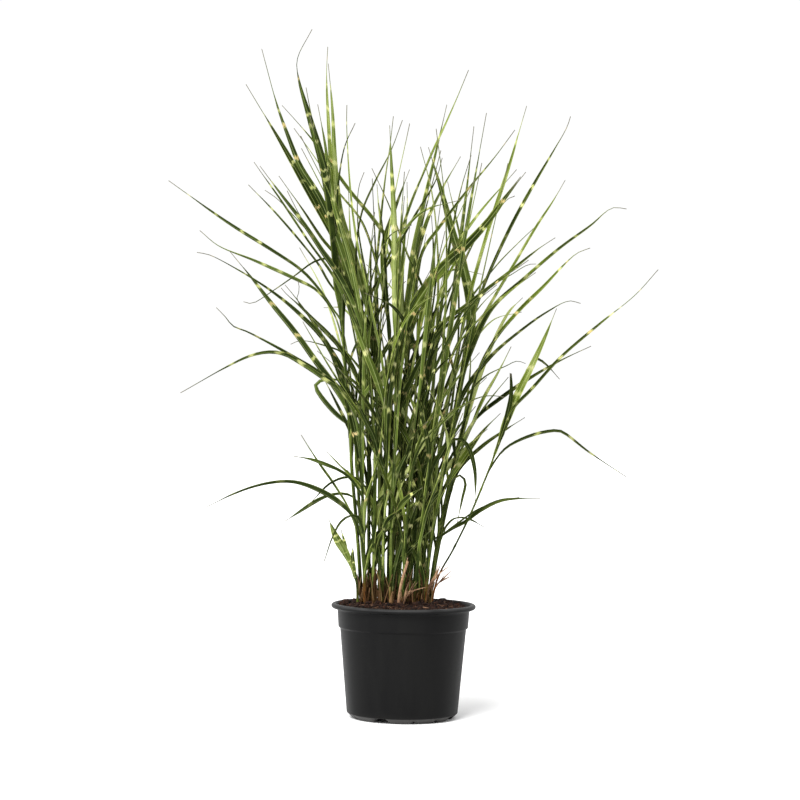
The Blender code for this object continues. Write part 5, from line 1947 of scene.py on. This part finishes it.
    def litter(self, finish: Material) -> Object:
        """Builds the loose fibres and the bits of old straw.

        Args:
            finish: the straw material.

        Returns:
            The dressed piece.
        """
        rng, shape, edge = random.Random("litter"), bmesh.new(), self.edge()
        pieces = [(Vector(start), Vector(end), radius) for start, end, radius in self.straws]
        least, more = self.fibre_lengths
        for _ in range(self.fibres):
            start = Vector(self.spot(rng, self.fibre_reach))
            turn, long = rng.uniform(0, math.tau), least + more * rng.random() ** 2
            pieces.append((start, start + level(turn).xy * long, rng.uniform(*self.fibre_radii)))
        for start, end, radius in pieces:
            bend = (end - start).orthogonal() * rng.uniform(-0.25, 0.25)
            run = []
            for share in (0.0, 0.25, 0.50, 0.75, 1.0):
                flat = start.lerp(end, share) + bend * math.sin(math.pi * share)
                flat *= min(1.0, self.straw_reach * edge / max(1e-6, flat.length))
                rise = radius + self.fibre_lift * rng.random()
                run.append(Vector((*flat, self.height(*flat) + rise)))
            sides = 4 if radius <= self.fibre_radii[1] else 8
            close_seam(shape, tube_grid(shape, run, [radius] * len(run), sides))
        close_ends(shape)
        bmesh.ops.recalc_face_normals(shape, faces=shape.faces)
        return dressed(as_object("fibres_and_straws", shape, finish), Slot.STRAW)


# -------- the studio


@dataclass(frozen=True)
class Studio:
    """The camera, the pale floor and the soft lights."""

    roll: float = 0.8
    lens: float = 102.66
    sensor: float = 36.0
    floor_size: float = 30.0
    floor_drop: float = 0.0002
    sky_strength: float = 1.02
    sun_strength: float = 3.5
    sun_spread: float = 28.0
    sun_from: Spot = (-0.36, -0.78, 0.80)
    box_place: Spot = (-1.8, -1.6, 1.3)
    box_size: float = 2.0
    box_power: float = 44.0
    aim: Spot = (0.0, 0.0, 0.40)

    def camera(self) -> None:
        """The camera at the photograph's viewing angle: level, a little rolled."""
        data = bpy.data.cameras.new("photo_view")
        data.lens, data.sensor_width, data.sensor_fit = self.lens, self.sensor, "HORIZONTAL"
        camera = linked(bpy.data.objects.new("photo_view", data))
        camera.location = EYE
        camera.rotation_euler = (math.pi / 2, -math.radians(self.roll), 0.0)
        bpy.context.scene.camera = camera

    def lamp(self, name: str, kind: str, power: float, away: Vector) -> Object:
        """A light that shines from a direction.

        Args:
            name: its name.
            kind: its type.
            power: its strength.
            away: the direction from what it lights to the light.

        Returns:
            The light's object.
        """
        data = bpy.data.lights.new(name, kind)
        data.energy = power
        lamp = linked(bpy.data.objects.new(name, data))
        lamp.rotation_euler = away.to_track_quat("Z", "Y").to_euler()
        return lamp

    def lights(self) -> None:
        """A broad sun from the front left and above, and a square soft box on the left."""
        sun = self.lamp("broad_light", "SUN", self.sun_strength, Vector(self.sun_from))
        sun.data.angle = math.radians(self.sun_spread)
        box = self.lamp("soft_box_left", "AREA", self.box_power, Vector(self.box_place) - Vector(self.aim))
        box.data.size, box.location = self.box_size, self.box_place

    def floor(self, finish: Material) -> None:
        """The pale floor, which isn't part of the clump.

        Args:
            finish: its material.
        """
        shape = bmesh.new()
        bmesh.ops.create_grid(shape, x_segments=1, y_segments=1, size=self.floor_size / 2)
        bmesh.ops.translate(shape, verts=shape.verts, vec=UP * -self.floor_drop)
        as_object("studio_floor", shape, finish)

    def sky(self) -> None:
        """Even white light from all round."""
        world = bpy.data.worlds.new("studio_light")
        world.use_nodes = True
        background = world.node_tree.nodes["Background"].inputs
        background["Color"].default_value = (1.0, 1.0, 1.0, 1.0)
        background["Strength"].default_value = self.sky_strength
        bpy.context.scene.world = world
        bpy.context.scene.view_settings.view_transform = "Standard"

    def build(self, finish: Material) -> None:
        """Sets up the whole studio.

        Args:
            finish: the floor's material.
        """
        self.camera()
        self.floor(finish)
        self.sky()
        self.lights()


def main() -> None:
    """Dresses the frame: the studio first, then the pot, the peat, the dry stalks and the shoots."""
    logging.basicConfig(level=logging.INFO, format="%(message)s")
    for thing in list(bpy.data.objects):
        bpy.data.objects.remove(thing)
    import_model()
    Studio().build(FloorFinish().material())
    growth, pot = Growth(), NurseryPot()
    leaf, straw, peat = LeafFinish().material(), StrawFinish().material(), PeatFinish().material()
    pieces = [pot.build(PotFinish().material())]
    feet = [Vector((stem.foot[0] * MM, stem.foot[1] * MM)) for stem in (*STEMS, *YOUNG_STEMS, *DRY_STALKS)]
    bed = PeatBed(pot, feet)
    pieces += [bed.bed(peat), bed.crumble(peat), bed.litter(straw)]
    for number, stem in enumerate(DRY_STALKS, 1):
        name = f"dry_stalk_{number}"
        pieces.append(DryStalk(name, stem, Guide(bpy.data.objects[name], growth), growth).build(straw))
    grown = ("shoot_{:02d}", STEMS, BLADES, MIDDLE_BLADES, growth.fill_blades, {"inner": 4, "stretch": 1.0})
    young = ("young_shoot_{:d}", YOUNG_STEMS, YOUNG_BLADES, (), (0, 0), {"inner": 0, "stretch": 3.2})
    for pattern, stems, blades, middles, fills, habit in (grown, young):
        for number, (stem, count) in enumerate(zip(stems, fills), 1):
            name = pattern.format(number)
            own, inside = ([blade for blade in rows if blade.shoot == number] for rows in (blades, middles))
            guide = Guide(bpy.data.objects[name], growth)
            pieces.append(Shoot(name, stem, own, inside, count, guide, growth, **habit).build(leaf))
    for piece in pieces:
        LOG.info("%s: %d faces", piece.name, len(piece.data.polygons))


if __name__ == "__main__":
    main()
